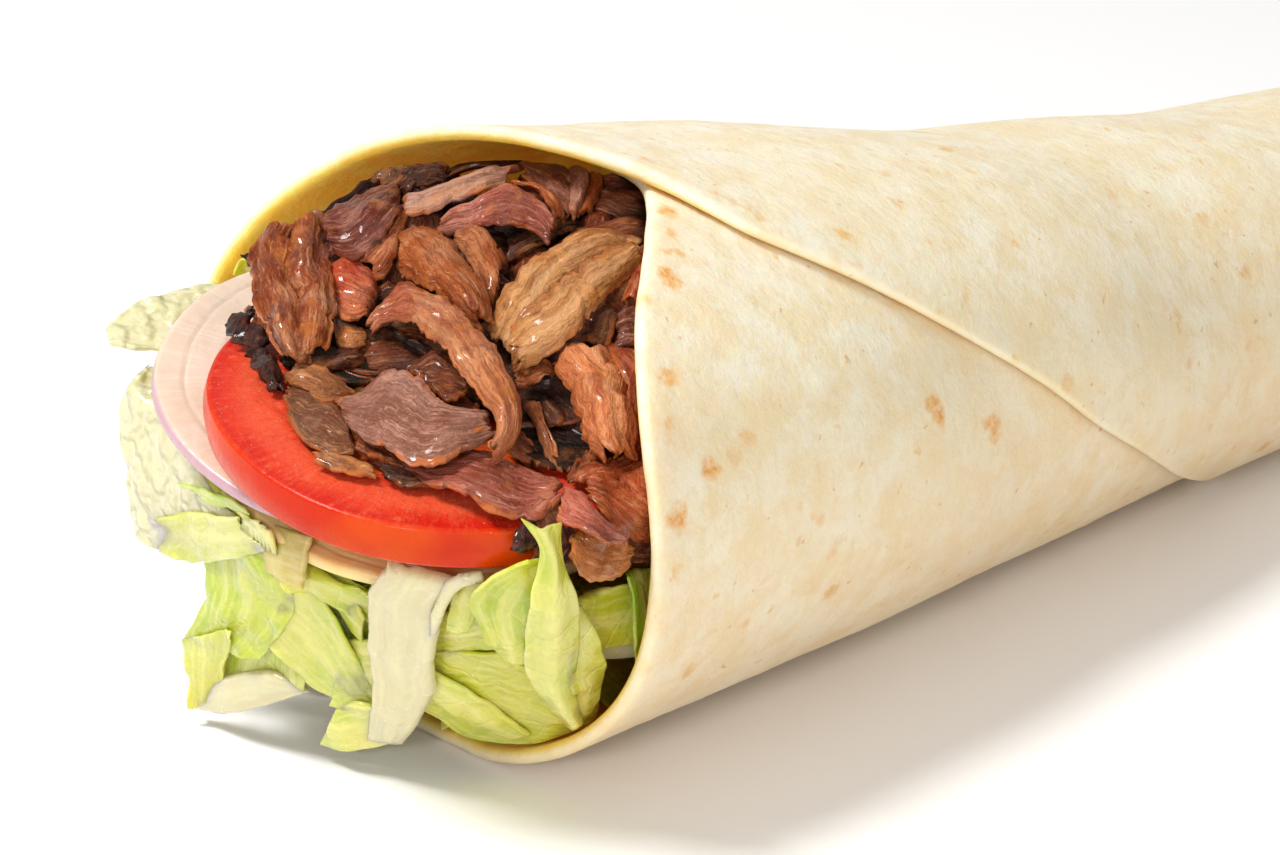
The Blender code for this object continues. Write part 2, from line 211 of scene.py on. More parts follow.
# ------------------------------------------------------------------ materials
class Nodes:
    """Short hand for building a node material."""

    def __init__(self, name):
        self.mat = bpy.data.materials.new(name)
        self.mat.use_nodes = True
        self.tree = self.mat.node_tree
        self.tree.nodes.clear()
        self.out = self.tree.nodes.new("ShaderNodeOutputMaterial")
        self.shader = self.tree.nodes.new("ShaderNodeBsdfPrincipled")
        self.link(self.shader.outputs[0], self.out.inputs["Surface"])

    def link(self, a, b):
        self.tree.links.new(a, b)

    def put(self, socket, value):
        if hasattr(value, "links"):
            self.link(value, socket)
        elif isinstance(value, (tuple, list)) and len(value) == 3 and socket.type == 'RGBA':
            socket.default_value = (*value, 1.0)
        else:
            socket.default_value = value

    def node(self, kind, **inputs):
        n = self.tree.nodes.new(kind)
        for key, value in inputs.items():
            self.put(n.inputs[key.replace("_", " ")], value)
        return n

    def coords(self):
        """Object coordinates in millimetres."""
        tc = self.tree.nodes.new("ShaderNodeTexCoord")
        return self.vmath('SCALE', tc.outputs["Object"], scale=1000.0)

    def attr(self, name, out="Fac"):
        n = self.tree.nodes.new("ShaderNodeAttribute")
        n.attribute_name = name
        return n.outputs[out]

    def vmath(self, op, a, b=None, scale=None):
        n = self.tree.nodes.new("ShaderNodeVectorMath")
        n.operation = op
        self.put(n.inputs[0], a)
        if b is not None:
            self.put(n.inputs[1], b)
        if scale is not None:
            self.put(n.inputs["Scale"], scale)
        return n.outputs["Value"] if op in ('LENGTH', 'DISTANCE', 'DOT_PRODUCT') else n.outputs[0]

    def math(self, op, a, b=None, c=None, clamp=False):
        n = self.tree.nodes.new("ShaderNodeMath")
        n.operation = op
        n.use_clamp = clamp
        self.put(n.inputs[0], a)
        if b is not None:
            self.put(n.inputs[1], b)
        if c is not None:
            self.put(n.inputs[2], c)
        return n.outputs[0]

    def mix(self, fac, a, b, blend='MIX'):
        n = self.tree.nodes.new("ShaderNodeMix")
        n.data_type = 'RGBA'
        n.blend_type = blend
        n.clamp_factor = True
        self.put(n.inputs[0], fac)
        self.put(n.inputs[6], a)
        self.put(n.inputs[7], b)
        return n.outputs[2]

    def noise(self, vector, scale, detail=2.0, rough=0.5, distortion=0.0, out="Fac"):
        n = self.tree.nodes.new("ShaderNodeTexNoise")
        self.put(n.inputs["Vector"], vector)
        self.put(n.inputs["Scale"], scale)
        self.put(n.inputs["Detail"], detail)
        self.put(n.inputs["Roughness"], rough)
        self.put(n.inputs["Distortion"], distortion)
        return n.outputs[out]

    def voronoi(self, vector, scale, feature='F1', randomness=1.0):
        n = self.tree.nodes.new("ShaderNodeTexVoronoi")
        n.feature = feature
        self.put(n.inputs["Vector"], vector)
        self.put(n.inputs["Scale"], scale)
        self.put(n.inputs["Randomness"], randomness)
        return n

    def span(self, value, lo, hi, a=0.0, b=1.0, kind='SMOOTHSTEP'):
        n = self.tree.nodes.new("ShaderNodeMapRange")
        n.interpolation_type = kind
        for key, v in zip(("Value", "From Min", "From Max", "To Min", "To Max"), (value, lo, hi, a, b)):
            self.put(n.inputs[key], v)
        return n.outputs[0]

    def ramp(self, fac, stops):
        n = self.tree.nodes.new("ShaderNodeValToRGB")
        el = n.color_ramp.elements
        while len(el) < len(stops):
            el.new(0.5)
        for e, (pos, col) in zip(el, stops):
            e.position = pos
            e.color = (*col, 1.0)
        self.put(n.inputs[0], fac)
        return n.outputs[0]

    def bump(self, height, distance, strength=1.0, normal=None):
        n = self.tree.nodes.new("ShaderNodeBump")
        self.put(n.inputs["Height"], height)
        n.inputs["Distance"].default_value = distance
        n.inputs["Strength"].default_value = strength
        if normal is not None:
            self.put(n.inputs["Normal"], normal)
        return n.outputs[0]


def srgb(r, g, b):
    """Linear colour of an 8-bit display colour."""
    out = []
    for v in (r, g, b):
        v = v / 255.0
        out.append(v / 12.92 if v <= 0.04045 else ((v + 0.055) / 1.055) ** 2.4)
    return tuple(out)


# toasted spots: station, turn from the top (minus is the near side), size, strength
SPOTS = [
    (26.8, 336.0, 1.9, 1.0), (23.8, 330.2, 1.5, 0.75), (21.2, 326.0, 1.4, 0.8), (17.5, 320.8, 1.9, 1.0),
    (16.8, 319.0, 1.5, 0.8), (8.8, 302.8, 1.7, 0.8), (6.0, 295.0, 1.4, 0.55), (5.2, 292.2, 1.2, 0.4),
    (10.5, 285.0, 1.9, 1.0), (4.2, 278.0, 2.3, 1.0), (17.8, 288.5, 1.7, 0.55), (15.0, 286.5, 1.6, 0.5),
    (52.2, 286.5, 1.8, 0.9), (53.0, 283.5, 2.0, 1.0), (63.8, 279.0, 1.5, 0.8), (65.0, 276.5, 1.6, 0.95),
    (28.2, 269.2, 1.5, 0.55), (31.5, 261.5, 1.3, 0.5), (25.2, 266.5, 0.9, 0.6), (31.2, -11.5, 1.0, 0.6),
    (31.5, -13.2, 1.0, 0.6), (35.0, -24.5, 1.0, 0.55), (36.0, -26.2, 1.2, 0.6), (37.0, -28.5, 1.1, 0.5),
    (38.0, -30.5, 1.2, 0.6), (67.0, -2.8, 1.2, 0.35), (61.8, -17.2, 1.1, 0.5), (67.5, -21.0, 1.3, 0.4),
    (76.2, -21.2, 1.4, 0.4), (84.2, -22.0, 1.2, 0.45), (108.8, -31.2, 1.2, 0.5), (139.2, -14.8, 1.3, 0.45),
    (123.0, -43.8, 1.3, 0.45), (79.5, -43.8, 1.1, 0.5), (63.2, -40.8, 1.0, 0.4), (107.8, -67.5, 1.3, 0.5),
    (108.2, -80.8, 1.2, 0.5), (79.8, -76.5, 1.6, 0.45), (93.0, -90.2, 1.4, 0.4), (124.0, -82.2, 1.2, 0.4),
    (47.0, -44.0, 1.2, 0.35), (85.0, 236.5, 1.0, 0.5), (87.5, 236.5, 1.0, 0.5), (103.8, 236.5, 1.0, 0.5),
    (105.8, 237.2, 1.0, 0.5), (116.2, -114.0, 1.0, 0.5), (80.0, 62.0, 2.2, 0.9), (46.0, 95.0, 2.0, 0.8),
    (120.0, 84.0, 1.8, 0.8), (24.0, 118.0, 1.7, 0.7), (150.0, 100.0, 2.1, 0.8), (98.0, 130.0, 1.6, 0.6),
    (66.0, 20.0, 1.4, 0.5), (165.0, 60.0, 2.0, 0.8), (186.0, -60.0, 2.0, 0.8), (196.0, 30.0, 2.2, 0.9),
    (176.0, -100.0, 1.7, 0.7), (208.0, -25.0, 1.8, 0.8), (40.0, 55.0, 1.8, 0.7),
]


def tortilla_material():
    m = Nodes("tortilla")
    p = m.coords()
    warp = m.noise(p, 0.35, 3.0, 0.6, out="Color")
    wp = m.vmath('ADD', p, m.vmath('SCALE', m.vmath('SUBTRACT', warp, (0.5, 0.5, 0.5)), scale=4.0))
    broad = m.noise(p, 0.045, 2.0, 0.5)
    mottle = m.noise(wp, 0.16, 4.0, 0.62)
    fine = m.noise(p, 0.9, 4.0, 0.65)
    pale, warm, deep = srgb(250, 233, 210), srgb(244, 218, 180), srgb(234, 202, 152)
    colour = m.mix(m.span(mottle, 0.34, 0.66), pale, warm)
    colour = m.mix(m.math('MULTIPLY', m.span(m.noise(wp, 0.24, 5.0, 0.7), 0.52, 0.74), 0.5), colour, deep)
    colour = m.mix(m.math('MULTIPLY', m.span(broad, 0.42, 0.7), 0.35), colour, warm)
    colour = m.mix(m.math('MULTIPLY', m.span(fine, 0.52, 0.75), 0.22), colour, srgb(226, 205, 158))
    # small scattered toasted specks
    for scale, size, share, tint, strength in ((0.13, 0.24, 0.30, srgb(231, 176, 104), 0.75),
                                               (0.27, 0.25, 0.16, srgb(236, 187, 118), 0.65),
                                               (0.6, 0.28, 0.10, srgb(214, 150, 84), 0.6)):
        v = m.voronoi(wp, scale)
        pick = m.span(m.vmath('DOT_PRODUCT', v.outputs["Color"], (1.0, 0.0, 0.0)), 1.0 - share, 1.0, 0.0, 1.0, 'LINEAR')
        near = m.span(v.outputs["Distance"], size * 0.25, size, 1.0, 0.0)
        fac = m.math('MULTIPLY', m.math('MULTIPLY', near, m.span(pick, 0.0, 0.5)), strength)
        colour = m.mix(fac, colour, tint)
    # the larger toasted spots, each where the griddle blistered the bread
    toast = None
    for x, turn, size, strength in SPOTS:
        out = float(ply_height(180.0 - turn)) if x > rim_station(180.0 - turn) else 0.0
        q = roll_point(np.array([180.0 - turn]), np.array([x]), out)[0] + ORIGIN / MM
        d = m.vmath('DISTANCE', wp, tuple(float(c) for c in q))
        s = m.math('MULTIPLY', m.span(d, size * 0.25, size * 1.15, 1.0, 0.0), strength)
        toast = s if toast is None else m.math('MAXIMUM', toast, s)
    speckle = m.span(fine, 0.35, 0.65, 0.65, 1.0)
    toast = m.math('MULTIPLY', toast, speckle)
    colour = m.mix(m.math('MULTIPLY', toast, 1.0), colour, srgb(236, 170, 88))
    core = m.span(toast, 0.62, 1.0)
    colour = m.mix(m.math('MULTIPLY', core, 0.45), colour, srgb(214, 134, 64))
    # painted highlight on the rims and free edges, and a painted yellow glow of light through the sheet on the inner
    # skin of the roll
    edge = m.attr("rim")
    colour = m.mix(m.math('MULTIPLY', edge, 0.3), colour, srgb(250, 236, 206))
    inside = m.attr("inside")
    colour = m.mix(inside, colour, m.mix(m.span(mottle, 0.35, 0.65), srgb(255, 216, 104), srgb(255, 200, 74)))
    # painted shade: the bread is darkened and warmed towards the table
    low = m.span(m.vmath('DOT_PRODUCT', p, (0.0, 0.0, 1.0)), 6.0, 52.0, 1.0, 0.0, 'LINEAR')
    colour = m.mix(1.0, colour, m.mix(low, (1.0, 1.0, 1.0), (0.88, 0.82, 0.74)), 'MULTIPLY')
    m.put(m.shader.inputs["Base Color"], colour)
    m.put(m.shader.inputs["Roughness"], m.span(fine, 0.3, 0.7, 0.62, 0.5, 'LINEAR'))
    m.shader.inputs["Specular IOR Level"].default_value = 0.35
    m.shader.inputs["Subsurface Weight"].default_value = 0.5
    m.shader.inputs["Subsurface Radius"].default_value = (1.0, 0.58, 0.2)
    m.shader.inputs["Subsurface Scale"].default_value = 0.006
    h = m.math('ADD', m.math('MULTIPLY', m.noise(p, 0.3, 3.0, 0.6), 0.9), m.math('MULTIPLY', fine, 0.35))
    h = m.math('SUBTRACT', h, m.math('MULTIPLY', m.noise(p, 2.6, 3.0, 0.6), 0.12))
    m.put(m.shader.inputs["Normal"], m.bump(h, 0.0005, 0.8))
    return m.mat


def make_tortilla():
    """The rolled sheet, closed, with rounded rims, blisters and slow waves."""
    nc, nr, cap = 330, 128, 5
    ang = np.linspace(INNER_EDGE, OUTER_EDGE, nc)
    # closer columns at the free edges so that they round off
    ang = np.concatenate([[INNER_EDGE, INNER_EDGE + 0.25, INNER_EDGE + 0.8], ang[2:-2], [OUTER_EDGE - 0.8, OUTER_EDGE - 0.25, OUTER_EDGE]])
    nc = len(ang)
    end = np.minimum(ang - INNER_EDGE, OUTER_EDGE - ang) * 0.65        # mm to the free edge
    thick_end = np.sqrt(np.clip(1 - (1 - np.clip(end / 0.9, 0, 1)) ** 2, 0.0006, 1))
    rim = rim_station(ang)
    rim = rim + 0.5 * noise3(np.stack([ang * 0.05, 0 * ang, 0 * ang], 1), 3) + 0.22 * noise3(np.stack([ang * 0.2, 0 * ang, 0 * ang], 1), 4)
    rim = np.maximum(rim, 0.02)
    tail = np.full(nc, WRAP_LENGTH) - 0.7 + 0.6 * noise3(np.stack([ang * 0.04, 0 * ang + 9, 0 * ang], 1), 5)
    v = np.linspace(0, 1, nr)
    v = v + 0.10 * np.sin(2 * np.pi * v) / (2 * np.pi) * -1.0            # closer rows at both rims
    half = 0.5 * SHEET
    rows = []                                                            # (station offset from rim/tail, depth)
    X = np.zeros((nc, 2 * nr + 2 * cap))
    D = np.zeros_like(X)
    EDGE = np.zeros_like(X)
    for k in range(nr):                                                  # outer skin, mouth to tail
        X[:, k] = rim + half + (tail - rim - 2 * half) * v[k]
        D[:, k] = 0.0
    for k in range(cap):                                                 # round the tail rim
        a = math.pi * (k + 1) / (cap + 1)
        X[:, nr + k] = tail - half + half * math.sin(a)
        D[:, nr + k] = half - half * math.cos(a)
        EDGE[:, nr + k] = 1
    for k in range(nr):                                                  # inner skin, tail to mouth
        X[:, nr + cap + k] = rim + half + (tail - rim - 2 * half) * v[nr - 1 - k]
        D[:, nr + cap + k] = SHEET
    for k in range(cap):                                                 # round the mouth rim
        a = math.pi * (k + 1) / (cap + 1)
        X[:, 2 * nr + cap + k] = rim + half - half * math.sin(a)
        D[:, 2 * nr + cap + k] = half + half * math.cos(a)
        EDGE[:, 2 * nr + cap + k] = 1
    A = np.broadcast_to(ang[:, None], X.shape)
    from_rim = X - rim[:, None]
    # the free flap is a little thinner at its edge and lies down on the ply below
    flap = smooth(195, 215, A)
    free = np.minimum(from_rim * 0.585, (OUTER_EDGE - A) * 0.6)
    thin = 1.0 - 0.28 * flap * (1 - smooth(0, 9, free))
    lie = 0.38 * flap * (1 - smooth(0, 12, free))
    D = half + (D - half) * thick_end[:, None] * thin
    height = ply_height(A) - lie - half * (1 - thin) * 0
    # relief: slow waves common to both plies, then blisters on the skin
    q = np.stack([X, A * 0.62, 0 * X], -1).reshape(-1, 3)
    wave = 0.30 * noise3(np.stack([q[:, 0] * 0.045, np.mod(q[:, 1], 223.2) * 0.05, 0 * q[:, 0]], 1), 21).reshape(X.shape)
    wave *= 1 - smooth(150, 200, X)
    blister = fractal(q * 0.16, 31, 3, 0.5).reshape(X.shape)
    pebble = noise3(q * 0.55, 41).reshape(X.shape)
    skin = 0.14 * np.clip(blister, 0, 2) + 0.045 * pebble
    out = height - D + np.where(D < half, skin, -0.4 * skin)
    out = np.where((A < -20) | (A > 60), out + np.clip(wave, -0.25, 0.4), out)
    P = roll_point(A, X, out)
    # creases that run out to the pressed tail
    press = smooth(176, 214, X) * (1 - smooth(216, 222, X))
    P[..., 2] += press * 0.55 * np.sin(P[..., 1] * 0.42 + 0.04 * X) * smooth(3, 9, P[..., 2])
    far_side = smooth(55, 85, A) * smooth(200, 165, A)
    # painted highlight along the mouth rim, the tail and the free edges, weaker on the far side
    rim_highlight = np.clip(1 - np.minimum(from_rim, WRAP_LENGTH - X) / 1.5, 0, 1)
    rim_highlight = np.maximum(rim_highlight * (1 - 0.35 * far_side), (1 - np.clip(end, 0, 2.2) / 2.2)[:, None])
    # painted glow: light through the sheet, shown as yellow on the inner skin, spreading further on the far wall
    inside = np.clip((D - half * (0.9 - 0.35 * far_side)) / (SHEET * 0.95 - half * (0.9 - 0.1 * far_side)), 0, 1)
    inside = inside * inside * (3 - 2 * inside) * (A < 320) * smooth(150, 90, X)
    verts = P.reshape(-1, 3)
    n = X.shape[1]
    faces = grid_faces(nc, n, wrap_v=True)
    # close the two free edges with strips across the collapsed loops
    strips = []
    for c in (0, nc - 1):
        s = c * n
        loop = [s + k for k in range(n)]
        m = n // 2
        # pair outer-skin points with the inner-skin points behind them
        top = [s + k for k in range(nr)]
        bot = [s + nr + cap + (nr - 1 - k) for k in range(nr)]
        for k in range(nr - 1):
            f = [top[k], top[k + 1], bot[k + 1], bot[k]]
            strips.append(f if c == 0 else f[::-1])
        t_rim = [s + nr - 1] + [s + nr + k for k in range(cap)] + [s + nr + cap]
        m_rim = [s + 2 * nr + cap - 1] + [s + 2 * nr + cap + k for k in range(cap)] + [s]
        for ring in (t_rim, m_rim):
            i, j = 0, len(ring) - 1
            while j - i > 1:
                if j - i == 2:
                    f = [ring[i], ring[i + 1], ring[j], ring[j]]
                else:
                    f = [ring[i], ring[i + 1], ring[j - 1], ring[j]]
                strips.append(f if c == 0 else f[::-1])
                i, j = i + 1, j - 1
    quads = [f for f in strips if len(set(f)) == 4]
    faces = np.vstack([faces[:, ::-1], np.array(quads)[:, ::-1]])
    obj = new_object("tortilla_roll", verts, faces, tortilla_material(),
                     attrs={"rim": rim_highlight.ravel(), "inside": inside.ravel()})
    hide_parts("tortilla")
    return obj


make_tortilla()

# ------------------------------------------------------------ sheets and slabs
def curve(points, n):
    """n points along a smooth curve through a few points, by length."""
    p = np.asarray(points, float)
    if len(p) == 2:
        t = np.linspace(0, 1, n)[:, None]
        return p[0] * (1 - t) + p[1] * t
    ext = np.vstack([2 * p[0] - p[1], p, 2 * p[-1] - p[-2]])
    out = []
    for i in range(len(p) - 1):
        a, b, c, d = ext[i:i + 4]
        t = np.linspace(0, 1, 24, endpoint=(i == len(p) - 2))[:, None]
        out.append(0.5 * (2 * b + (c - a) * t + (2 * a - 5 * b + 4 * c - d) * t ** 2 + (3 * b - a - 3 * c + d) * t ** 3))
    out = np.vstack(out)
    run = np.concatenate([[0], np.cumsum(np.linalg.norm(np.diff(out, axis=0), axis=1))])
    want = np.linspace(0, run[-1], n)
    return np.stack([np.interp(want, run, out[:, k]) for k in range(3)], 1)


def steps(length, pitch, edge):
    """Positions 0 to 1 along a length in mm, close together at both ends."""
    near = np.array([0.0, 0.06, 0.22, 0.5, 1.0]) * edge
    inner = max(int(round((length - 2 * edge) / pitch)), 2)
    mid = np.linspace(edge, length - edge, inner + 1)[1:-1]
    return np.concatenate([near, mid, length - near[::-1]]) / length


def normals(g):
    du = np.gradient(g, axis=0)
    dv = np.gradient(g, axis=1)
    n = np.cross(du, dv)
    return n / np.maximum(np.linalg.norm(n, axis=-1, keepdims=True), 1e-9)


def lens(g, nrm, thick, edge_round, u_len, v_len, s, w):
    """Close a sheet of points into a body with round edges: the two skins
    share the outline."""
    ns, nw = g.shape[:2]
    eu = np.minimum(s, 1 - s) * u_len
    ev = np.minimum(w, 1 - w) * v_len
    e = np.minimum(eu[:, None], ev[None, :])
    prof = np.sqrt(np.clip(1 - (1 - np.clip(e / edge_round, 0, 1)) ** 2, 0, 1))
    half = 0.5 * thick * prof
    top = g + nrm * half[..., None]
    bot = g - nrm * half[..., None]
    index_top = np.arange(ns * nw).reshape(ns, nw)
    index_bot = index_top.copy()
    inner = np.zeros((ns, nw), bool)
    inner[1:-1, 1:-1] = True
    index_bot[inner] = ns * nw + np.arange(inner.sum())
    verts = np.vstack([top.reshape(-1, 3), bot[inner]])
    f1 = np.stack([index_top[:-1, :-1], index_top[1:, :-1], index_top[1:, 1:], index_top[:-1, 1:]], -1).reshape(-1, 4)
    f2 = np.stack([index_bot[:-1, :-1], index_bot[:-1, 1:], index_bot[1:, 1:], index_bot[1:, :-1]], -1).reshape(-1, 4)
    return verts, np.vstack([f1, f2]), inner, e


def both(values, inner):
    return np.concatenate([values.ravel(), values[inner]])


def tear(faces, lost, inner):
    """Cut the lost points out of a closed sheet, keep its larger parts and
    close it again along the cut."""
    lost_all = both(lost.astype(float), inner) > 0.5
    if not lost_all.any():
        return faces
    faces = faces[~lost_all[faces].any(axis=1)]
    if len(faces) == 0:
        return faces
    label = np.arange(len(lost_all))
    while True:
        low = label[faces].min(axis=1)
        new = label.copy()
        np.minimum.at(new, faces.ravel(), np.repeat(low, faces.shape[1]))
        if (new == label).all():
            break
        label = new
    part = label[faces[:, 0]]
    names, counts = np.unique(part, return_counts=True)
    faces = faces[np.isin(part, names[counts > 0.25 * len(faces)])]
    n = lost.size
    bottom = np.arange(n)
    bottom[inner.ravel()] = n + np.arange(inner.sum())
    skin = faces[(faces < n).all(axis=1)]
    edges = np.vstack([np.stack([skin[:, k], skin[:, (k + 1) % 4]], 1) for k in range(4)])
    every = np.vstack([np.stack([faces[:, k], faces[:, (k + 1) % 4]], 1) for k in range(4)])
    size = len(lost_all) + 1
    open_edge = ~np.isin(edges[:, 0] * size + edges[:, 1], every[:, 1] * size + every[:, 0])
    a, b = edges[open_edge].T
    solid = (bottom[a] != a) & (bottom[b] != b)
    a, b = a[solid], b[solid]
    return np.vstack([faces, np.stack([b, a, bottom[a], bottom[b]], 1)])


class Heap:
    """Collects pieces of one kind into one mesh."""

    def __init__(self):
        self.v, self.f, self.uv, self.attr, self.count = [], [], [], {}, 0

    def add(self, verts, faces, uv, **attrs):
        used = np.zeros(len(verts), bool)
        used[faces.ravel()] = True
        if not used.all():
            faces = (np.cumsum(used) - 1)[faces]
            verts, uv = verts[used], uv[used]
            attrs = {k: a[used] for k, a in attrs.items()}
        self.f.append(faces + self.count)
        self.count += len(verts)
        self.v.append(verts)
        self.uv.append(uv)
        for k, a in attrs.items():
            self.attr.setdefault(k, []).append(a)

    def build(self, name, material):
        attrs = {k: np.concatenate(a) for k, a in self.attr.items()}
        return new_object(name, np.vstack(self.v), np.vstack(self.f), material, np.vstack(self.uv), attrs)


# ------------------------------------------------------------------------ meat
TONE = {
    "brown": (136, 62, 22), "orangebrown": (150, 74, 26), "redbrown": (120, 54, 28), "redorange": (166, 58, 24),
    "darkred": (80, 32, 18), "maroon": (108, 42, 22), "char": (38, 22, 18), "dark": (70, 32, 18),
    "amber": (164, 86, 26), "orange": (164, 78, 34), "pinkgrey": (150, 102, 84), "mauve": (128, 72, 52),
    "pink": (176, 92, 72), "pinktan": (178, 104, 66), "redtan": (156, 78, 50), "beige": (214, 150, 88),
    "greybrown": (122, 74, 46), "tan": (150, 92, 52), "tanred": (204, 118, 70), "glossred": (164, 74, 38),
    # the last tone is near black, for slices that stand for the painted shade in the holes between slices
    "cooked": (184, 116, 60), "palepink": (196, 146, 128), "hole": (44, 18, 9),
}


# places on the face of the meat: y, z and how far forward, mm
FRONT = [
    (26.7, 62.0, -4.0), (21.0, 65.5, 1.0), (23.7, 65.2, 8.0), (23.9, 65.4, 13.0), (21.1, 66.1, 18.0), (16.0, 66.7, 21.0),
    (9.9, 67.5, 24.0), (5.1, 66.5, 28.0), (0.3, 65.5, 32.0), (-4.8, 64.4, 34.0), (-17.5, 62.4, 23.0), (-23.9, 59.2, 17.0),
    (-29.2, 55.6, 12.0), (-32.4, 51.0, 9.0), (-35.7, 46.4, 6.0), (-37.2, 40.9, 5.0), (-37.6, 34.7, 5.0), (-40.9, 40.2, -6.0),
    (-33.0, 42.5, -5.0), (-31.6, 42.4, -13.0), (-22.8, 43.1, -16.0), (-17.7, 42.7, -20.0), (-13.9, 44.2, -22.0), (-10.2, 44.5, -23.5),
    (-2.5, 45.3, -21.0), (3.9, 48.9, -16.0), (19.8, 53.1, -11.0), (11.5, 55.7, -7.0), (2.3, 56.2, 1.0), (2.2, 60.6, 9.0),
    (-11.5, 58.8, 5.0), (-9.4, 49.2, -9.0), (-2.5, 48.5, -14.0), (-18.4, 48.0, -9.0), (-18.1, 49.6, -1.0), (-15.5, 58.4, 11.0),
    (-25.5, 50.1, 5.0), (-26.9, 45.8, -1.0), (9.1, 64.0, 15.0), (13.9, 63.0, 3.0), (-38.8, 33.3, -4.0), (-34.0, 38.3, -9.0),
    (-13.1, 61.2, 23.0),
]


def front_surface():
    """How far forward the face of the meat stands, for a place (y, z)."""
    q = np.array(FRONT, float)
    r = np.linalg.norm(q[:, None, :2] - q[None, :, :2], axis=2)
    n = len(q)
    m = np.zeros((n + 3, n + 3))
    m[:n, :n] = r + 3.0 * np.eye(n) * -1.0
    m[:n, n] = 1
    m[:n, n + 1:] = q[:, :2]
    m[n:, :n] = m[:n, n:].T
    sol = np.linalg.solve(m, np.concatenate([q[:, 2], np.zeros(3)]))

    def at(y, z):
        y, z = np.asarray(y, float), np.asarray(z, float)
        shape = y.shape
        y, z = y.ravel(), z.ravel()
        d = np.hypot(y[:, None] - q[None, :, 0], z[:, None] - q[None, :, 1])
        return (d @ sol[:n] + sol[n] + sol[n + 1] * y + sol[n + 2] * z).reshape(shape)
    return at


front_x = front_surface()

# the slices, as in the CAD: centre of the upper face, radius, thickness, tilt, heading
TOMATO = dict(centre=(0.0, -10.0, 47.8), radius=30.2, thick=5.3, tilt=10.84, heading=248.4)
ONION_UPPER = dict(centre=(2.6, 7.5, 43.1), radius=28.4, thick=1.8, tilt=17.3, heading=254.5)
ONION_LOWER = dict(centre=(4.4, -1.5, 36.6), radius=27.0, thick=1.8, tilt=13.8, heading=248.0)


def slice_frame(spec):
    t, h = math.radians(spec["tilt"]), math.radians(spec["heading"])
    n = np.array([math.sin(t) * math.cos(h), math.sin(t) * math.sin(h), math.cos(t)])
    u = np.cross([0.0, 0.0, 1.0], n)
    u /= np.linalg.norm(u)
    return n, u, np.cross(n, u)


def keep_inside(g, gap=2.4, reach=-1.5):
    """Push points inside the bread and off the tomato."""
    shape = g.shape
    p = g.reshape(-1, 3).copy()
    n = slice_frame(TOMATO)[0]
    d = p - np.array(TOMATO["centre"])
    h = d @ n
    flat = d - h[:, None] * n
    radial = np.linalg.norm(flat, axis=1)
    under = (h < 1.2) & (h > -9.0)
    over = under & (radial < TOMATO["radius"] - 2.5)
    p[over] += n * (1.2 - h[over])[:, None]
    side = under & (radial >= TOMATO["radius"] - 2.5) & (radial < TOMATO["radius"] + 1.4)
    out = TOMATO["radius"] + 1.4
    p[side] += flat[side] * (out / radial[side] - 1)[:, None] * smooth(1.2, -1.0, h[side])[:, None]
    a, b, zc = half_axes(np.maximum(p[:, 0], 0.0))
    k = (np.abs(p[:, 1] / (a - gap)) ** POWER + np.abs((p[:, 2] - zc) / (b - gap)) ** POWER) ** (1 / POWER)
    k = np.where((p[:, 0] > reach) & (k > 1), k, 1.0)
    p[:, 1] = p[:, 1] / k
    p[:, 2] = zc + (p[:, 2] - zc) / k
    return p.reshape(shape)


def sight(p):
    """Where a point stands against the face when seen from the front left."""
    eye = np.array([-320.05, -382.95, 237.82])
    d = p - eye
    return eye + d * (-eye[0] / d[..., :1])


# outline of the heap as it shows in the mouth, y and z on the plane of the mouth
HEAP_OUTLINE = ((35.9, 41.4), (33.7, 46.7), (32.0, 56.5), (27.5, 59.6), (17.8, 64.6), (13.9, 67.5), (4.3, 73.0), (-0.4, 75.4),
                (-12.9, 77.0), (-23.2, 81.1), (-60.0, 90.0), (-60.0, 40.0), (-27.5, 43.2), (-7.7, 37.9), (21.1, 32.7), (28.6, 36.0))


def in_outline(y, z):
    y, z = np.asarray(y, float), np.asarray(z, float)
    hit = np.zeros(y.shape, bool)
    n = len(HEAP_OUTLINE)
    for k in range(n):
        (y0, z0), (y1, z1) = HEAP_OUTLINE[k], HEAP_OUTLINE[(k + 1) % n]
        cross = (z0 > z) != (z1 > z)
        hit ^= cross & (y < (y1 - y0) * (z - z0) / (z1 - z0 + 1e-9) + y0)
    return hit


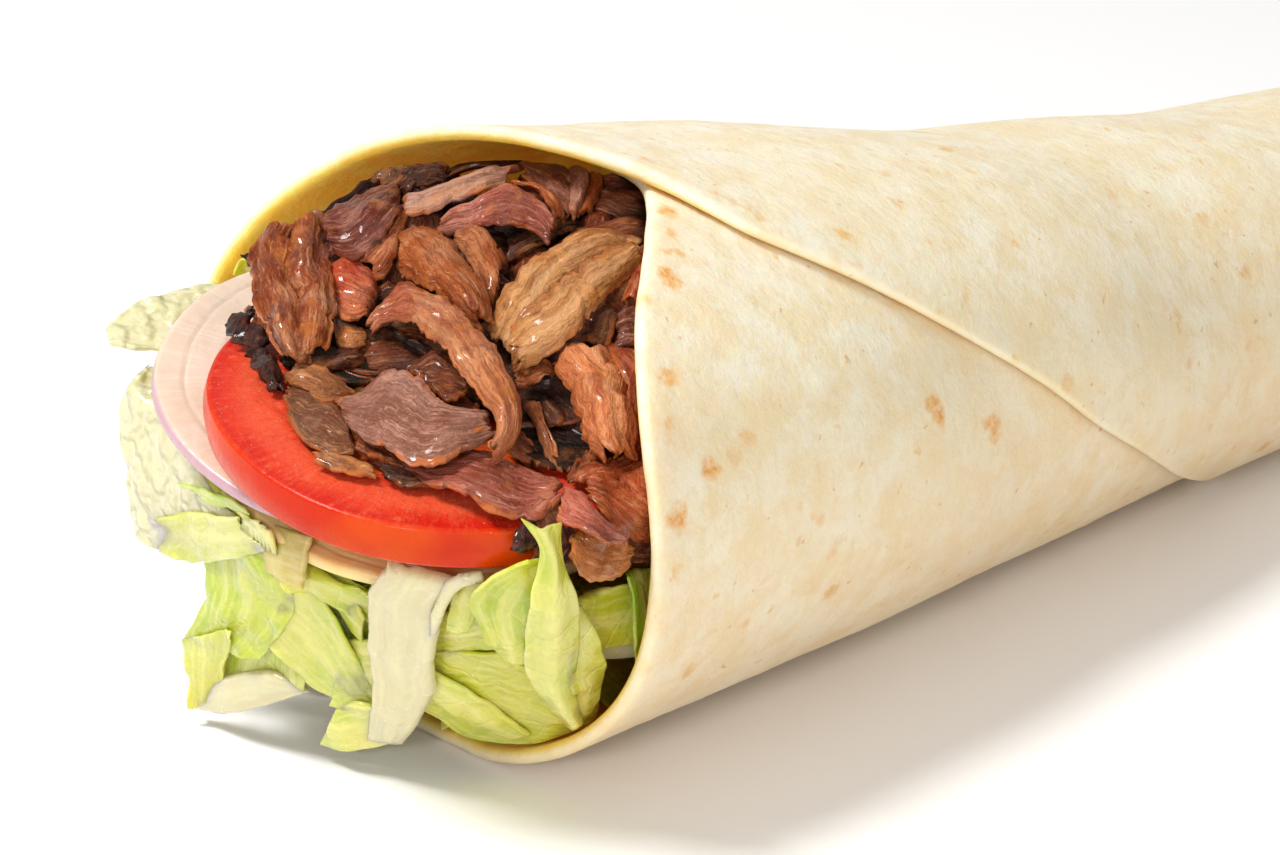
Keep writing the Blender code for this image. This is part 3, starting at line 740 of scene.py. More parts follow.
def meat_slice(heap, tone, spec, edge_a, edge_b, seed, pitch=0.6):
    """One shaved slice between two given edges: nearly flat or creased, fibrous, with torn ends."""
    la = np.linalg.norm(np.diff(curve(edge_a, 40), axis=0), axis=1).sum()
    lb = np.linalg.norm(np.diff(curve(edge_b, 40), axis=0), axis=1).sum()
    length = 0.5 * (la + lb)
    mid = curve(edge_a, 40) - curve(edge_b, 40)
    width = np.linalg.norm(mid, axis=1).max()
    rand = np.random.default_rng(seed)
    thick = spec.get("thick", 2.0) * 0.58
    across = spec.get("fibre", 0) == 1
    pu, pv = (pitch * 0.7, pitch * 1.2) if across else (pitch * 1.2, pitch * 0.7)
    s = steps(length, pu, min(0.5, length * 0.2))
    w = steps(width, pv, min(0.45, width * 0.2))
    dense = 200
    a, b = curve(edge_a, dense), curve(edge_b, dense)
    pick = lambda c, t: np.stack([np.interp(t, np.linspace(0, 1, dense), c[:, k]) for k in range(3)], -1)
    S, W = np.meshgrid(s, w, indexing="ij")
    rag = spec.get("rag", 0.8) * 1.25
    rng = seed * 7.31
    q = lambda x, k: noise3(np.stack([x.ravel(), 0 * x.ravel() + rng, 0 * x.ravel() + k], 1), 5).reshape(x.shape)
    v_mm = W * width
    u_mm = S * length

    def torn(x, k, big):
        """A torn edge: slow wander, teeth and a few deeper notches."""
        teeth = np.abs(q(x * 0.8, k + 0.5))
        notch = np.clip(q(x * 0.33, k + 0.8) - 0.22, 0, 1) * 5.0
        return rag * (big * 1.9 * q(x * 0.2, k) - 1.1 * teeth - big * notch + 0.6 * q(x * 1.9, k + 0.2))

    end0 = -torn(v_mm, 1.0, 1.0) / length
    end1 = torn(v_mm, 3.0, 1.0) / length
    side0 = -torn(u_mm, 5.0, 0.6) / width
    side1 = torn(u_mm, 7.0, 0.6) / width
    SS = S + end0 * (1 - S) ** 1.5 + end1 * S ** 1.5
    WW = W + side0 * (1 - W) ** 1.5 + side1 * W ** 1.5
    sc = np.clip(SS, 0, 1)
    pa, pb = pick(a, sc), pick(b, sc)
    g = pa * (1 - WW[..., None]) + pb * WW[..., None]
    span = 0.5 * (a[-1] - a[0] + b[-1] - b[0])
    g = g + (SS - sc)[..., None] * span
    nrm = normals(g)
    view = np.array([-0.63, -0.68, 0.37])
    if (nrm.reshape(-1, 3) @ view).mean() < 0:
        nrm, flip = -nrm, True
    else:
        flip = False
    mean_n = nrm.reshape(-1, 3).mean(0)
    mean_n /= np.linalg.norm(mean_n)
    # bent along a line that wanders down the slice, curled a little at one side
    bulge = spec.get("bulge", 1.5) * 0.52
    w0 = np.clip(rand.uniform(0.25, 0.75) + 0.22 * q(u_mm * 0.08, 11.0), 0.1, 0.9)
    fold = np.where(W < w0, W / w0, (1 - W) / (1 - w0))
    fold = 1.0 - np.sqrt((1.0 - fold) ** 2 + 0.0012)
    arch = 4 * W * (1 - W)
    mixf = rand.uniform(0.45, 1.0)
    curl = rand.uniform(-1.1, 1.1) * smooth(0.72, 1.0, W) + rand.uniform(-1.1, 1.1) * smooth(0.28, 0.0, W)
    ends = rand.uniform(-1.2, 0.8) * smooth(0.8, 1.0, S) + rand.uniform(-1.2, 0.8) * smooth(0.2, 0.0, S)
    g = g + mean_n * (bulge * (mixf * fold + (1 - mixf) * arch - 0.35) + 0.8 * curl + 0.7 * ends)[..., None]
    flat = g.reshape(-1, 3)
    amp = spec.get("wave", 1.0)
    c1 = noise3(flat * 0.11 + rng, 11)
    c2 = 1.0 - np.sqrt(noise3(flat * 0.13 + rng, 12) ** 2 + 0.0006) * 4.0          # sharp creases, flat facets between
    crumple = amp * (0.9 * c1 - 0.36 * np.clip(c2, -1.0, 1.0) + 0.14 * noise3(flat * 0.42 + rng, 17) + 0.05 * noise3(flat * 1.1 + rng, 20))
    knobs = spec.get("knobs", 0.0)
    if knobs:
        crumple = crumple + knobs * 1.1 * noise3(flat * 0.5 + rng, 13) + knobs * 0.5 * noise3(flat * 1.1 + rng, 18)
    g = g + mean_n * crumple.reshape(S.shape)[..., None]
    g = keep_inside(g, reach=spec.get("reach", -1.5))
    nrm = normals(g)
    if flip:
        nrm = -nrm
    fu, fv = (v_mm, u_mm) if across else (u_mm, v_mm)
    fv2 = fv + 1.0 * q(fu * 0.09, 9.0)
    strands = noise3(np.stack([fu.ravel() * 0.05, fv2.ravel() * 0.8, 0 * fu.ravel() + rng], 1), 14)
    strands2 = noise3(np.stack([fu.ravel() * 0.12, fv2.ravel() * 1.5, 0 * fu.ravel() + rng], 1), 15)
    split = np.clip(0.09 - np.abs(strands), 0, 0.09) / 0.09                         # fine gaps between strands
    gate = smooth(0.02, 0.2, noise3(flat * 0.16 + rng, 19))
    relief = (0.07 * strands + 0.04 * strands2 - 0.10 * split * gate).reshape(S.shape)
    layer = noise3(np.stack([fu.ravel() * 0.055, fv2.ravel() * 0.22, 0 * fu.ravel() + rng + 7], 1), 21) * 3.2
    step = np.floor(layer) + smooth(0.0, 0.16, layer - np.floor(layer))
    relief = relief + 0.42 * spec.get("layers", 1.0) * (step - layer * 0.85 - 0.5).reshape(S.shape)
    t = thick * (0.8 + 0.35 * noise3(flat * 0.2 + rng + 4, 16).reshape(S.shape))
    verts, faces, inner, e = lens(g, nrm, t, 0.62 * thick, length, width, s, w)
    n = S.size
    lift = np.clip(e / 0.5, 0, 1) * relief
    verts[:n] += (nrm * lift[..., None]).reshape(-1, 3)
    verts[n:] -= (nrm * lift[..., None] * 0.6)[inner]
    if flip:
        faces = faces[:, ::-1]
    uv = np.stack([both(fu, inner), both(fv2, inner)], 1)
    tint = np.array(srgb(*TONE[tone]))
    tint = np.clip(tint * (1.0 + 0.16 * math.sin(seed * 12.9898)), 0, 1)
    side = np.ones(len(verts))
    side[n:] = 0.0
    heap.add(verts, faces, uv,
             tint=np.repeat(tint[None], len(verts), 0),
             edge=both(np.clip(1 - e / (1.3 if spec.get("rim") else 0.9), 0, 1), inner),
             rim=np.full(len(verts), float(spec.get("rim", 0.55))),
             char=np.full(len(verts), 1.0 if tone == "char" else (0.45 if tone == "dark" else 0.0)),
             groove=both((split * gate).reshape(S.shape), inner),
             rosy=np.full(len(verts), 1.0 if tone in ("pinkgrey", "mauve", "pink", "maroon", "palepink") else 0.0),
             stripe=np.full(len(verts), {"beige": 0.8, "pinktan": 0.3, "tanred": 0.5, "palepink": 0.4}.get(tone, 0.0)),
             grain=np.full(len(verts), 1.0 if tone in ("pinkgrey", "greybrown", "mauve") else 0.0),
             # deep: painted shade that grows with depth behind the face of the heap, set high on the hole tone and a
             # little on dark red
             deep=np.maximum(smooth(2.0, 6.5, verts[:, 0] - front_x(verts[:, 1], verts[:, 2])), {"hole": 0.75, "darkred": 0.2}.get(tone, 0.0)),
             gloss=np.full(len(verts), 1.0 if tone in ("glossred", "amber", "char", "dark", "redorange", "orange", "cooked", "brown") else 0.45))


def meat_material():
    m = Nodes("meat")
    p = m.coords()
    uv = m.tree.nodes.new("ShaderNodeUVMap").outputs[0]
    tint = m.attr("tint", "Color")
    edge, rim, char, gloss = m.attr("edge"), m.attr("rim"), m.attr("char"), m.attr("gloss")
    grain_cut, rosy = m.attr("grain"), m.attr("rosy")
    warp = m.vmath('SUBTRACT', m.noise(p, 0.22, 3.0, out="Color"), (0.5, 0.5, 0.5))
    pw = m.vmath('ADD', p, m.vmath('SCALE', warp, scale=4.0))
    fuv = m.vmath('ADD', m.vmath('MULTIPLY', uv, (0.13, 1.0, 1.0)), m.vmath('SCALE', warp, scale=0.5))
    broad = m.noise(pw, 0.12, 3.0, 0.55)
    band = m.noise(m.vmath('MULTIPLY', fuv, (0.6, 1.0, 1.0)), 0.55, 3.0, 0.6)
    strand = m.noise(fuv, 1.5, 4.0, 0.65)
    fine = m.noise(m.vmath('MULTIPLY', uv, (0.5, 3.2, 1.0)), 1.3, 3.0, 0.65)
    grain = m.noise(p, 1.7, 4.0, 0.7)
    pale = m.mix(0.55, tint, m.mix(rosy, srgb(236, 176, 126), srgb(230, 172, 150)))
    deep = m.mix(1.0, tint, (0.46, 0.31, 0.20), 'MULTIPLY')
    # broad changes, then bands and strands along the fibre
    colour = m.mix(m.math('MULTIPLY', m.span(broad, 0.50, 0.38), 0.60), tint, deep)
    colour = m.mix(m.math('MULTIPLY', m.span(broad, 0.52, 0.64), 0.45), colour, pale)
    colour = m.mix(m.math('MULTIPLY', m.span(band, 0.49, 0.37), 0.70), colour, deep)
    colour = m.mix(m.math('MULTIPLY', m.span(band, 0.53, 0.65), 0.60), colour, pale)
    colour = m.mix(m.math('MULTIPLY', m.span(strand, 0.48, 0.36), 0.70), colour, deep)
    colour = m.mix(m.math('MULTIPLY', m.span(strand, 0.54, 0.66), 0.75), colour, pale)
    colour = m.mix(m.math('MULTIPLY', m.span(fine, 0.48, 0.38), 0.60), colour, deep)
    colour = m.mix(m.math('MULTIPLY', m.span(fine, 0.56, 0.68), 0.35), colour, pale)
    colour = m.mix(m.math('MULTIPLY', m.span(grain, 0.55, 0.72), m.math('ADD', 0.18, m.math('MULTIPLY', grain_cut, 0.5))), colour, pale)
    colour = m.mix(m.math('MULTIPLY', m.span(grain, 0.45, 0.30), m.math('ADD', 0.18, m.math('MULTIPLY', grain_cut, 0.5))), colour, deep)
    # painted shade in the fine gaps between strands
    colour = m.mix(m.math('MULTIPLY', m.attr("groove"), 0.55), colour, deep)
    # clear pale and brown bands in the thicker cuts
    stripe = m.attr("stripe")
    bands = m.noise(m.vmath('MULTIPLY', fuv, (0.35, 1.0, 1.0)), 0.30, 2.0, 0.5)
    colour = m.mix(m.math('MULTIPLY', m.math('MULTIPLY', m.span(bands, 0.50, 0.62), stripe), 0.6), colour, srgb(240, 188, 134))
    colour = m.mix(m.math('MULTIPLY', m.math('MULTIPLY', m.span(bands, 0.47, 0.38), stripe), 0.7), colour, srgb(158, 80, 34))
    # seared brown in patches, a little burnt at some edges
    sear = m.math('MULTIPLY', m.span(m.noise(m.vmath('ADD', pw, (11.0, 5.0, 9.0)), 0.17, 4.0, 0.65), 0.54, 0.70), 0.65)
    colour = m.mix(sear, colour, srgb(112, 48, 18))
    gold = m.math('MULTIPLY', m.span(m.noise(m.vmath('ADD', pw, (3.0, 21.0, 13.0)), 0.19, 4.0, 0.65), 0.54, 0.70), 0.45)
    colour = m.mix(m.math('MULTIPLY', gold, m.math('SUBTRACT', 1.0, grain_cut)), colour, srgb(206, 122, 52))
    er = m.math('MULTIPLY', m.span(edge, 0.05, 0.8), m.span(rim, 0.0, 1.0, 0.2, 0.8, 'LINEAR'))
    er = m.math('MULTIPLY', er, m.span(m.noise(p, 0.3, 2.0), 0.44, 0.60))
    colour = m.mix(er, colour, srgb(200, 108, 42))
    burnt = m.math('MULTIPLY', m.span(m.noise(pw, 0.12, 4.0, 0.7), 0.60, 0.70), m.span(edge, 0.0, 0.8, 0.2, 1.0))
    colour = m.mix(m.math('MULTIPLY', burnt, 0.85), colour, srgb(44, 20, 12))
    specks = m.voronoi(p, 0.55)
    colour = m.mix(m.math('MULTIPLY', m.span(specks.outputs["Distance"], 0.06, 0.2, 0.5, 0.0), m.span(grain, 0.45, 0.6)), colour, srgb(50, 26, 18))
    # painted shade on the pieces that lie deep behind the face
    shade = m.mix(1.0, colour, (0.08, 0.045, 0.04), 'MULTIPLY')
    colour = m.mix(m.attr("deep"), colour, shade)
    charred = m.mix(m.span(grain, 0.38, 0.66), srgb(22, 11, 8), srgb(84, 36, 18))
    colour = m.mix(char, colour, charred)
    m.put(m.shader.inputs["Base Color"], colour)
    # greasy in patches
    wet = m.math('MULTIPLY', m.span(m.noise(p, 0.28, 4.0, 0.6), 0.44, 0.60), m.span(gloss, 0.0, 1.0, 0.35, 1.0, 'LINEAR'))
    m.put(m.shader.inputs["Roughness"], m.math('SUBTRACT', 0.46, m.math('MULTIPLY', wet, 0.2)))
    m.shader.inputs["Specular IOR Level"].default_value = 0.18
    m.put(m.shader.inputs["Coat Weight"], m.math('MULTIPLY', m.math('MULTIPLY', wet, m.math('SUBTRACT', 1.0, m.attr("deep"))), 0.85))
    m.shader.inputs["Coat Roughness"].default_value = 0.11
    m.shader.inputs["Subsurface Weight"].default_value = 0.08
    m.shader.inputs["Subsurface Radius"].default_value = (1.0, 0.35, 0.18)
    m.shader.inputs["Subsurface Scale"].default_value = 0.0015
    h = m.math('ADD', m.math('MULTIPLY', strand, 0.6), m.math('MULTIPLY', fine, 0.35))
    h = m.math('ADD', h, m.math('MULTIPLY', grain, 0.55))
    h = m.math('ADD', h, m.math('MULTIPLY', m.noise(p, 0.6, 4.0, 0.6), 0.8))
    m.put(m.shader.inputs["Normal"], m.bump(h, 0.0006, 0.9))
    return m.mat


# each slice: tone, form, and its two long edges in millimetres in the mouth frame
MEAT = [
    ("brown", dict(bulge=3.0, thick=2.4, rag=0.8, fibre=0),
     [(-5.9, 19.3, 63.0), (-9.7, 18.1, 59.3), (-12.4, 13.7, 56.6), (-14.3, 8.4, 54.4), (-15.4, 4.1, 52.4)],
     [(-2.5, 17.6, 63.9), (-7.5, 12.6, 61.0), (-11.1, 7.7, 57.9), (-13.2, 3.9, 55.4), (-13.9, 2.0, 52.8)]),
    ("brown", dict(bulge=3.4, thick=2.4, rag=0.8, fibre=0),
     [(-3.1, 16.5, 64.1), (-7.6, 12.2, 60.7), (-10.5, 8.6, 57.5), (-13.3, 4.0, 55.3), (-14.1, 2.5, 52.8)],
     [(1.7, 18.3, 62.9), (-2.0, 11.8, 60.2), (-5.4, 7.0, 57.4), (-8.0, 3.4, 55.3), (-10.3, 1.0, 53.4)]),
    ("redorange", dict(bulge=0.5, thick=1.4, rag=0.7, wave=1.3),
     [(-2.5, 10.9, 59.3), (-0.9, 9.3, 60.3), (0.2, 7.0, 59.3), (0.5, 5.2, 57.2)],
     [(-5.8, 6.5, 55.8), (-6.3, 4.1, 55.4), (-5.8, 2.2, 55.0), (-2.7, 3.2, 54.8)]),
    ("darkred", dict(bulge=3, thick=3, rag=0.8),
     [(-13.1, 6.4, 51.4), (-11.2, 4.1, 52.0), (-8.5, 1.8, 52.7), (-5.1, 1.4, 52.3)],
     [(-13.8, 5.1, 50.1), (-12.7, 2.3, 50.1), (-9.9, 0.2, 49.9), (-6.0, 0.5, 49.9)]),
    ("char", dict(bulge=1.5, thick=2.2, rag=1.4, knobs=1),
     [(-13.0, 17.8, 54.4), (-15.3, 13.3, 53.1), (-17.8, 7.2, 52.1), (-19.5, 1.8, 50.8)],
     [(-10.4, 16.4, 54.5), (-12.3, 11.6, 53.4), (-14.8, 6.2, 52.1), (-17.7, 1.2, 50.1)]),
    ("amber", dict(bulge=1, thick=1.6, rag=0.9),
     [(-10.7, 18.0, 54.3), (-12.0, 13.6, 52.8), (-13.0, 9.6, 51.9)],
     [(-9.7, 16.7, 54.0), (-10.9, 12.8, 52.7), (-11.8, 9.2, 51.7)]),
    ("maroon", dict(bulge=2.5, thick=2.2, rag=0.6),
     [(0.7, 17.6, 64.0), (5.8, 18.2, 64.6), (11.0, 18.7, 64.8), (15.3, 18.8, 65.1)],
     [(-1.5, 11.2, 60.1), (-1.1, 7.7, 60.4), (3.3, 7.6, 62.3), (8.8, 10.9, 63.6)]),
    ("dark", dict(bulge=1.5, thick=2.2, rag=0.9, knobs=0.5),
     [(11.4, 20.1, 64.6), (16.1, 20.9, 66.1), (17.7, 18.1, 66.3), (19.6, 15.0, 66.1)],
     [(13.0, 16.6, 64.3), (13.4, 14.2, 64.6), (15.4, 13.8, 65.1), (18.1, 13.1, 65.4)]),
    ("orange", dict(bulge=1.5, thick=1.8, rag=0.6),
     [(10.6, 12.7, 63.7), (4.9, 8.9, 62.4), (1.1, 7.6, 61.0), (-0.2, 8.1, 59.8)],
     [(9.7, 11.2, 62.6), (4.8, 6.7, 60.7), (1.9, 5.0, 58.8), (0.4, 5.7, 57.4)]),
    ("dark", dict(bulge=1, thick=2, rag=0.8),
     [(20.6, 17.9, 64.8), (22.9, 16.3, 65.6), (25.3, 13.5, 66.5), (28.6, 10.9, 66.7)],
     [(17.9, 14.0, 64.2), (20.6, 13.1, 65.1), (22.8, 10.6, 65.8), (26.2, 8.4, 66.2)]),
    ("palepink", dict(bulge=2.0, thick=2.0, rag=0.6, rim=0.9),
     [(11.1, 13.1, 64.5), (15.4, 12.1, 65.6), (19.9, 10.1, 66.5), (25.5, 8.1, 67.3)],
     [(8.5, 10.2, 62.7), (10.7, 7.8, 63.5), (14.9, 6.5, 65.0), (21.4, 5.5, 66.3)]),
    ("pink", dict(bulge=3, thick=2.2, rag=0.7, fibre=0),
     [(11.6, 7.9, 62.5), (13.5, 5.5, 64.3), (16.7, 3.7, 65.9), (20.7, 2.8, 66.7), (21.2, -1.0, 65.0), (20.6, -4.4, 62.7)],
     [(11.0, 6.0, 62.0), (12.1, 2.9, 62.9), (13.3, -0.1, 63.7), (15.5, -2.0, 63.9), (16.8, -4.3, 63.6), (17.1, -6.2, 62.5)]),
    ("orange", dict(bulge=1.5, thick=2, rag=0.7),
     [(21.1, 5.7, 65.7), (23.2, 3.4, 66.0), (23.5, 0.1, 65.0), (23.1, -3.5, 63.2)],
     [(20.6, 3.5, 65.7), (21.0, 0.5, 65.5), (20.4, -2.6, 64.5), (20.3, -4.6, 63.2)]),
    ("mauve", dict(bulge=2, thick=2, rag=0.6),
     [(27.4, 9.8, 66.8), (29.0, 7.7, 67.0), (30.3, 5.4, 66.3), (29.4, 2.1, 65.1)],
     [(24.7, 6.9, 65.5), (24.3, 3.1, 64.8), (23.5, -0.2, 64.3), (23.3, -3.2, 63.3)]),
    ("pinkgrey", dict(bulge=2, thick=2, rag=0.6),
     [(29.6, 4.1, 66.4), (27.6, 0.6, 65.6), (24.9, -1.7, 64.5), (23.3, -2.9, 63.4)],
     [(32.4, 3.0, 65.8), (29.8, -0.3, 65.0), (26.7, -2.5, 63.9), (24.0, -4.0, 63.1)]),
    ("brown", dict(bulge=1.5, thick=2, rag=0.6),
     [(32.0, 2.4, 65.5), (29.5, -0.1, 65.0), (27.1, -2.0, 64.1), (24.8, -3.6, 63.3)],
     [(34.6, 2.2, 65.2), (31.6, -1.0, 64.4), (29.2, -2.6, 63.6), (26.8, -3.8, 62.9)]),
    ("mauve", dict(bulge=1.5, thick=2, rag=0.7),
     [(34.7, 2.6, 64.8), (35.9, 0.6, 64.2), (36.4, -1.4, 63.8), (37.5, -2.9, 63.4)],
     [(27.6, -3.0, 62.6), (28.4, -5.3, 62.3), (29.0, -7.9, 62.2), (30.4, -10.6, 62.3)]),
    ("orangebrown", dict(bulge=3.5, thick=2.4, rag=0.8),
     [(9.2, 9.4, 62.7), (9.0, 3.9, 63.0), (6.6, -3.2, 62.1), (3.9, -9.6, 61.0), (1.9, -13.0, 58.0)],
     [(2.9, 5.0, 59.2), (1.4, 1.4, 59.1), (1.0, -3.5, 58.9), (-0.2, -9.6, 58.2), (0.6, -12.8, 56.8)]),
    ("orangebrown", dict(bulge=2.4, thick=2.2, rag=0.8),
     [(11.2, 4.6, 61.9), (13.0, 2.3, 63.2), (12.6, -2.0, 62.6), (11.3, -6.1, 61.2)],
     [(9.6, 1.1, 61.6), (7.6, -3.9, 60.7), (5.4, -8.3, 59.8), (4.8, -10.3, 58.8)]),
    ("redtan", dict(bulge=1, thick=1.8, rag=0.9),
     [(-4.5, 2.1, 55.5), (-2.0, 1.7, 57.4), (0.9, 1.6, 58.9), (1.8, -2.8, 58.7)],
     [(-5.6, 0.5, 55.3), (-3.9, -1.5, 56.3), (-3.2, -5.0, 56.9), (-2.0, -8.0, 57.6)]),
    ("pinktan", dict(bulge=1.6, thick=1.9, rag=0.7),
     [(0.3, -1.1, 58.7), (0.0, -6.2, 59.9), (-2.1, -14.2, 59.3), (-3.6, -20.8, 56.7), (-4.3, -25.0, 53.0), (-7.2, -27.8, 49.8), (-11.5, -29.3, 48.2)],
     [(-3.8, -5.7, 56.5), (-5.5, -11.0, 56.6), (-7.0, -16.2, 55.8), (-7.8, -20.3, 54.0), (-8.0, -23.9, 52.2), (-8.5, -26.3, 50.3), (-11.1, -28.0, 48.7)]),
    ("hole", dict(bulge=1, thick=2, rag=0.8),
     [(-3.6, 3.1, 53.4), (-1.9, 0.8, 54.4), (-1.6, -3.1, 53.9), (-1.8, -6.7, 53.4)],
     [(-4.5, 1.8, 51.8), (-2.7, -0.1, 52.1), (-2.1, -3.6, 51.9), (-1.8, -6.1, 51.8)]),
    ("amber", dict(bulge=1, thick=2, rag=0.6),
     [(-4.5, 8.3, 55.2), (-4.9, 5.8, 54.9), (-4.7, 4.1, 54.2), (-3.7, 3.0, 53.4)],
     [(-7.4, 4.0, 52.0), (-7.6, 1.7, 52.1), (-6.6, 1.1, 52.4), (-4.8, 1.1, 52.3)]),
    ("redbrown", dict(bulge=1.5, thick=2.2, rag=0.8),
     [(4.9, -9.5, 54.8), (11.5, -7.4, 58.6), (22.2, -3.6, 60.7), (30.1, -2.9, 61.3), (32.9, -7.3, 61.4)],
     [(5.2, -12.4, 53.3), (10.1, -13.2, 56.0), (17.5, -11.3, 58.2), (25.6, -9.4, 59.5), (27.9, -12.7, 60.6)]),
    ("beige", dict(bulge=2.4, thick=1.8, rag=0.7, fibre=0, wave=0.45, layers=0.7),
     [(2.4, -12.0, 56.4), (5.6, -11.4, 60.3), (12.1, -9.5, 62.3), (19.4, -8.2, 63.2), (25.0, -8.5, 62.7), (26.7, -13.3, 62.0)],
     [(1.6, -17.7, 53.2), (5.1, -18.2, 57.1), (10.0, -17.0, 59.1), (15.4, -15.8, 60.4), (20.8, -14.6, 61.2), (24.2, -16.0, 61.5)]),
    ("beige", dict(bulge=2.0, thick=1.8, rag=1.0, fibre=0, wave=0.45, layers=0.7),
     [(2.0, -16.8, 57.5), (5.4, -17.5, 60.4), (11.1, -16.5, 62.0), (18.1, -15.2, 62.6), (23.4, -15.4, 62.5)],
     [(0.3, -19.2, 53.9), (3.0, -22.1, 55.7), (6.0, -23.6, 57.9), (10.3, -22.5, 59.9), (21.6, -18.6, 61.6)]),
    ("redorange", dict(bulge=1.2, thick=2, rag=0.5),
     [(22.5, -16.2, 61.1), (18.4, -19.4, 60.1), (15.0, -21.8, 58.5)],
     [(24.9, -16.4, 61.3), (20.7, -20.7, 59.8), (16.4, -23.0, 58.3)]),
    ("greybrown", dict(bulge=1.5, thick=2.2, rag=0.7),
     [(10.3, -19.0, 55.3), (13.7, -18.6, 56.9), (17.0, -18.9, 58.2)],
     [(11.1, -23.5, 54.4), (13.0, -23.3, 55.8), (14.9, -21.7, 57.1)]),
    ("mauve", dict(bulge=1.5, thick=2.2, rag=0.7),
     [(15.5, -21.1, 58.1), (17.6, -20.8, 58.4), (21.4, -19.8, 58.9)],
     [(11.5, -24.7, 55.4), (12.8, -25.7, 55.2), (14.8, -26.7, 55.1)]),
    ("tanred", dict(bulge=4.0, thick=2.4, rag=1.0),
     [(4.0, -20.3, 53.5), (2.8, -24.9, 52.2), (1.6, -29.4, 50.5), (-0.1, -31.8, 48.7), (-0.3, -34.8, 46.9)],
     [(10.9, -23.7, 55.3), (9.1, -28.7, 54.5), (6.5, -33.6, 52.2), (4.9, -35.8, 49.6), (3.6, -36.7, 46.7)]),
    ("glossred", dict(bulge=3.0, thick=2.2, rag=0.8),
     [(11.4, -22.7, 54.9), (8.5, -28.6, 54.0), (6.7, -32.3, 51.8), (4.9, -34.5, 49.2), (2.2, -34.7, 46.2)],
     [(17.1, -25.7, 53.9), (14.7, -28.6, 51.6), (13.2, -30.4, 48.8), (11.8, -32.2, 46.0), (10.9, -33.2, 43.5)]),
    ("glossred", dict(bulge=3.0, thick=2.4, rag=0.8),
     [(-3.6, -33.5, 44.8), (-0.2, -33.8, 46.3), (3.7, -34.1, 46.3), (10.5, -33.3, 45.3)],
     [(-4.9, -37.6, 44.2), (-5.4, -41.3, 43.4), (-2.5, -41.4, 39.8), (0.5, -40.0, 36.7), (9.5, -34.9, 32.0)]),
    ("pink", dict(bulge=1.6, thick=2.0, rag=0.7),
     [(-6.1, -35.0, 45.8), (-6.7, -39.1, 45.6), (-7.0, -42.6, 44.2), (-3.3, -42.2, 40.1)],
     [(-10.0, -38.1, 43.1), (-10.9, -41.4, 42.8), (-10.1, -44.5, 42.3), (-4.1, -42.5, 39.0)]),
    ("pinkgrey", dict(bulge=1.2, thick=2.0, rag=0.8, rim=1, wave=0.5, layers=0.5),
     [(-15.5, -5.9, 49.7), (-13.4, -7.9, 50.8), (-9.9, -8.6, 52.9), (-9.5, -15.6, 52.8), (-11.0, -20.9, 51.9), (-7.1, -23.3, 51.0)],
     [(-16.5, -7.7, 49.1), (-18.9, -13.7, 48.8), (-19.3, -19.1, 49.0), (-19.1, -24.6, 48.7), (-15.6, -27.2, 49.7), (-8.5, -26.1, 50.4)]),
    ("redtan", dict(bulge=0.6, thick=1.8, rag=0.6, rim=1),
     [(-10.1, -19.1, 51.2), (-9.4, -21.6, 51.3), (-7.0, -23.3, 51.0)],
     [(-16.1, -23.2, 48.7), (-14.2, -26.1, 49.6), (-7.9, -25.4, 50.0)]),
    ("greybrown", dict(bulge=2.2, thick=2.4, rag=0.7),
     [(-17.2, 2.3, 48.8), (-16.4, -1.4, 49.4), (-15.7, -5.5, 49.7), (-16.3, -8.9, 48.2)],
     [(-21.2, -2.8, 46.0), (-22.9, -8.8, 46.7), (-22.8, -12.7, 46.5), (-20.2, -14.3, 46.1)]),
    ("tan", dict(bulge=2.0, thick=2.2, rag=0.8),
     [(-14.6, 5.0, 49.7), (-12.7, 2.8, 51.0), (-11.6, -0.2, 50.8), (-11.1, -3.5, 49.4)],
     [(-17.1, 2.4, 48.9), (-16.8, -1.6, 49.2), (-15.5, -4.1, 49.2), (-12.9, -5.2, 49.2)]),
    ("pink", dict(bulge=1.8, thick=2.2, rag=0.9, rim=0.7),
     [(-15.4, -14.1, 46.7), (-15.2, -21.6, 46.9), (-10.8, -24.2, 47.9), (-7.6, -27.8, 46.8), (-6.1, -31.7, 45.3), (-4.7, -33.7, 45.1)],
     [(-17.6, -19.1, 45.3), (-17.9, -25.2, 45.4), (-17.1, -30.9, 45.6), (-16.1, -34.8, 44.7), (-12.1, -36.3, 43.3), (-7.6, -36.3, 44.0)]),
    ("brown", dict(bulge=1.8, thick=2.2, rag=0.9),
     [(-15.2, -7.5, 47.4), (-15.5, -11.4, 47.3), (-15.2, -14.7, 46.7), (-15.2, -18.9, 45.7)],
     [(-19.4, -13.3, 45.8), (-19.2, -16.2, 45.7), (-18.4, -18.4, 45.2), (-17.4, -21.4, 44.7)]),
    ("redbrown", dict(bulge=1.2, thick=2.0, rag=0.9),
     [(-6.8, -6.9, 51.4), (-4.0, -7.0, 52.8), (-2.0, -8.4, 54.0), (-3.7, -14.0, 52.6)],
     [(-7.2, -12.3, 51.2), (-7.7, -15.2, 50.5), (-7.4, -17.0, 50.2), (-5.2, -17.7, 50.6)]),
    ("pinktan", dict(bulge=1.0, thick=1.8, rag=0.6),
     [(2.6, -22.0, 49.7), (0.3, -24.9, 48.1), (-0.9, -28.2, 46.4), (-3.1, -31.5, 44.6)],
     [(1.2, -19.6, 50.1), (-0.3, -23.3, 48.5), (-2.0, -26.5, 46.6), (-4.3, -30.4, 44.6)]),
    ("orangebrown", dict(bulge=1.2, thick=2.0, rag=0.8),
     [(1.2, -17.6, 52.9), (2.9, -18.6, 53.9), (4.4, -19.8, 54.3), (4.9, -21.1, 52.4)],
     [(0.4, -19.5, 50.8), (1.1, -20.6, 50.7), (2.5, -21.2, 51.5), (4.7, -21.2, 52.1)]),
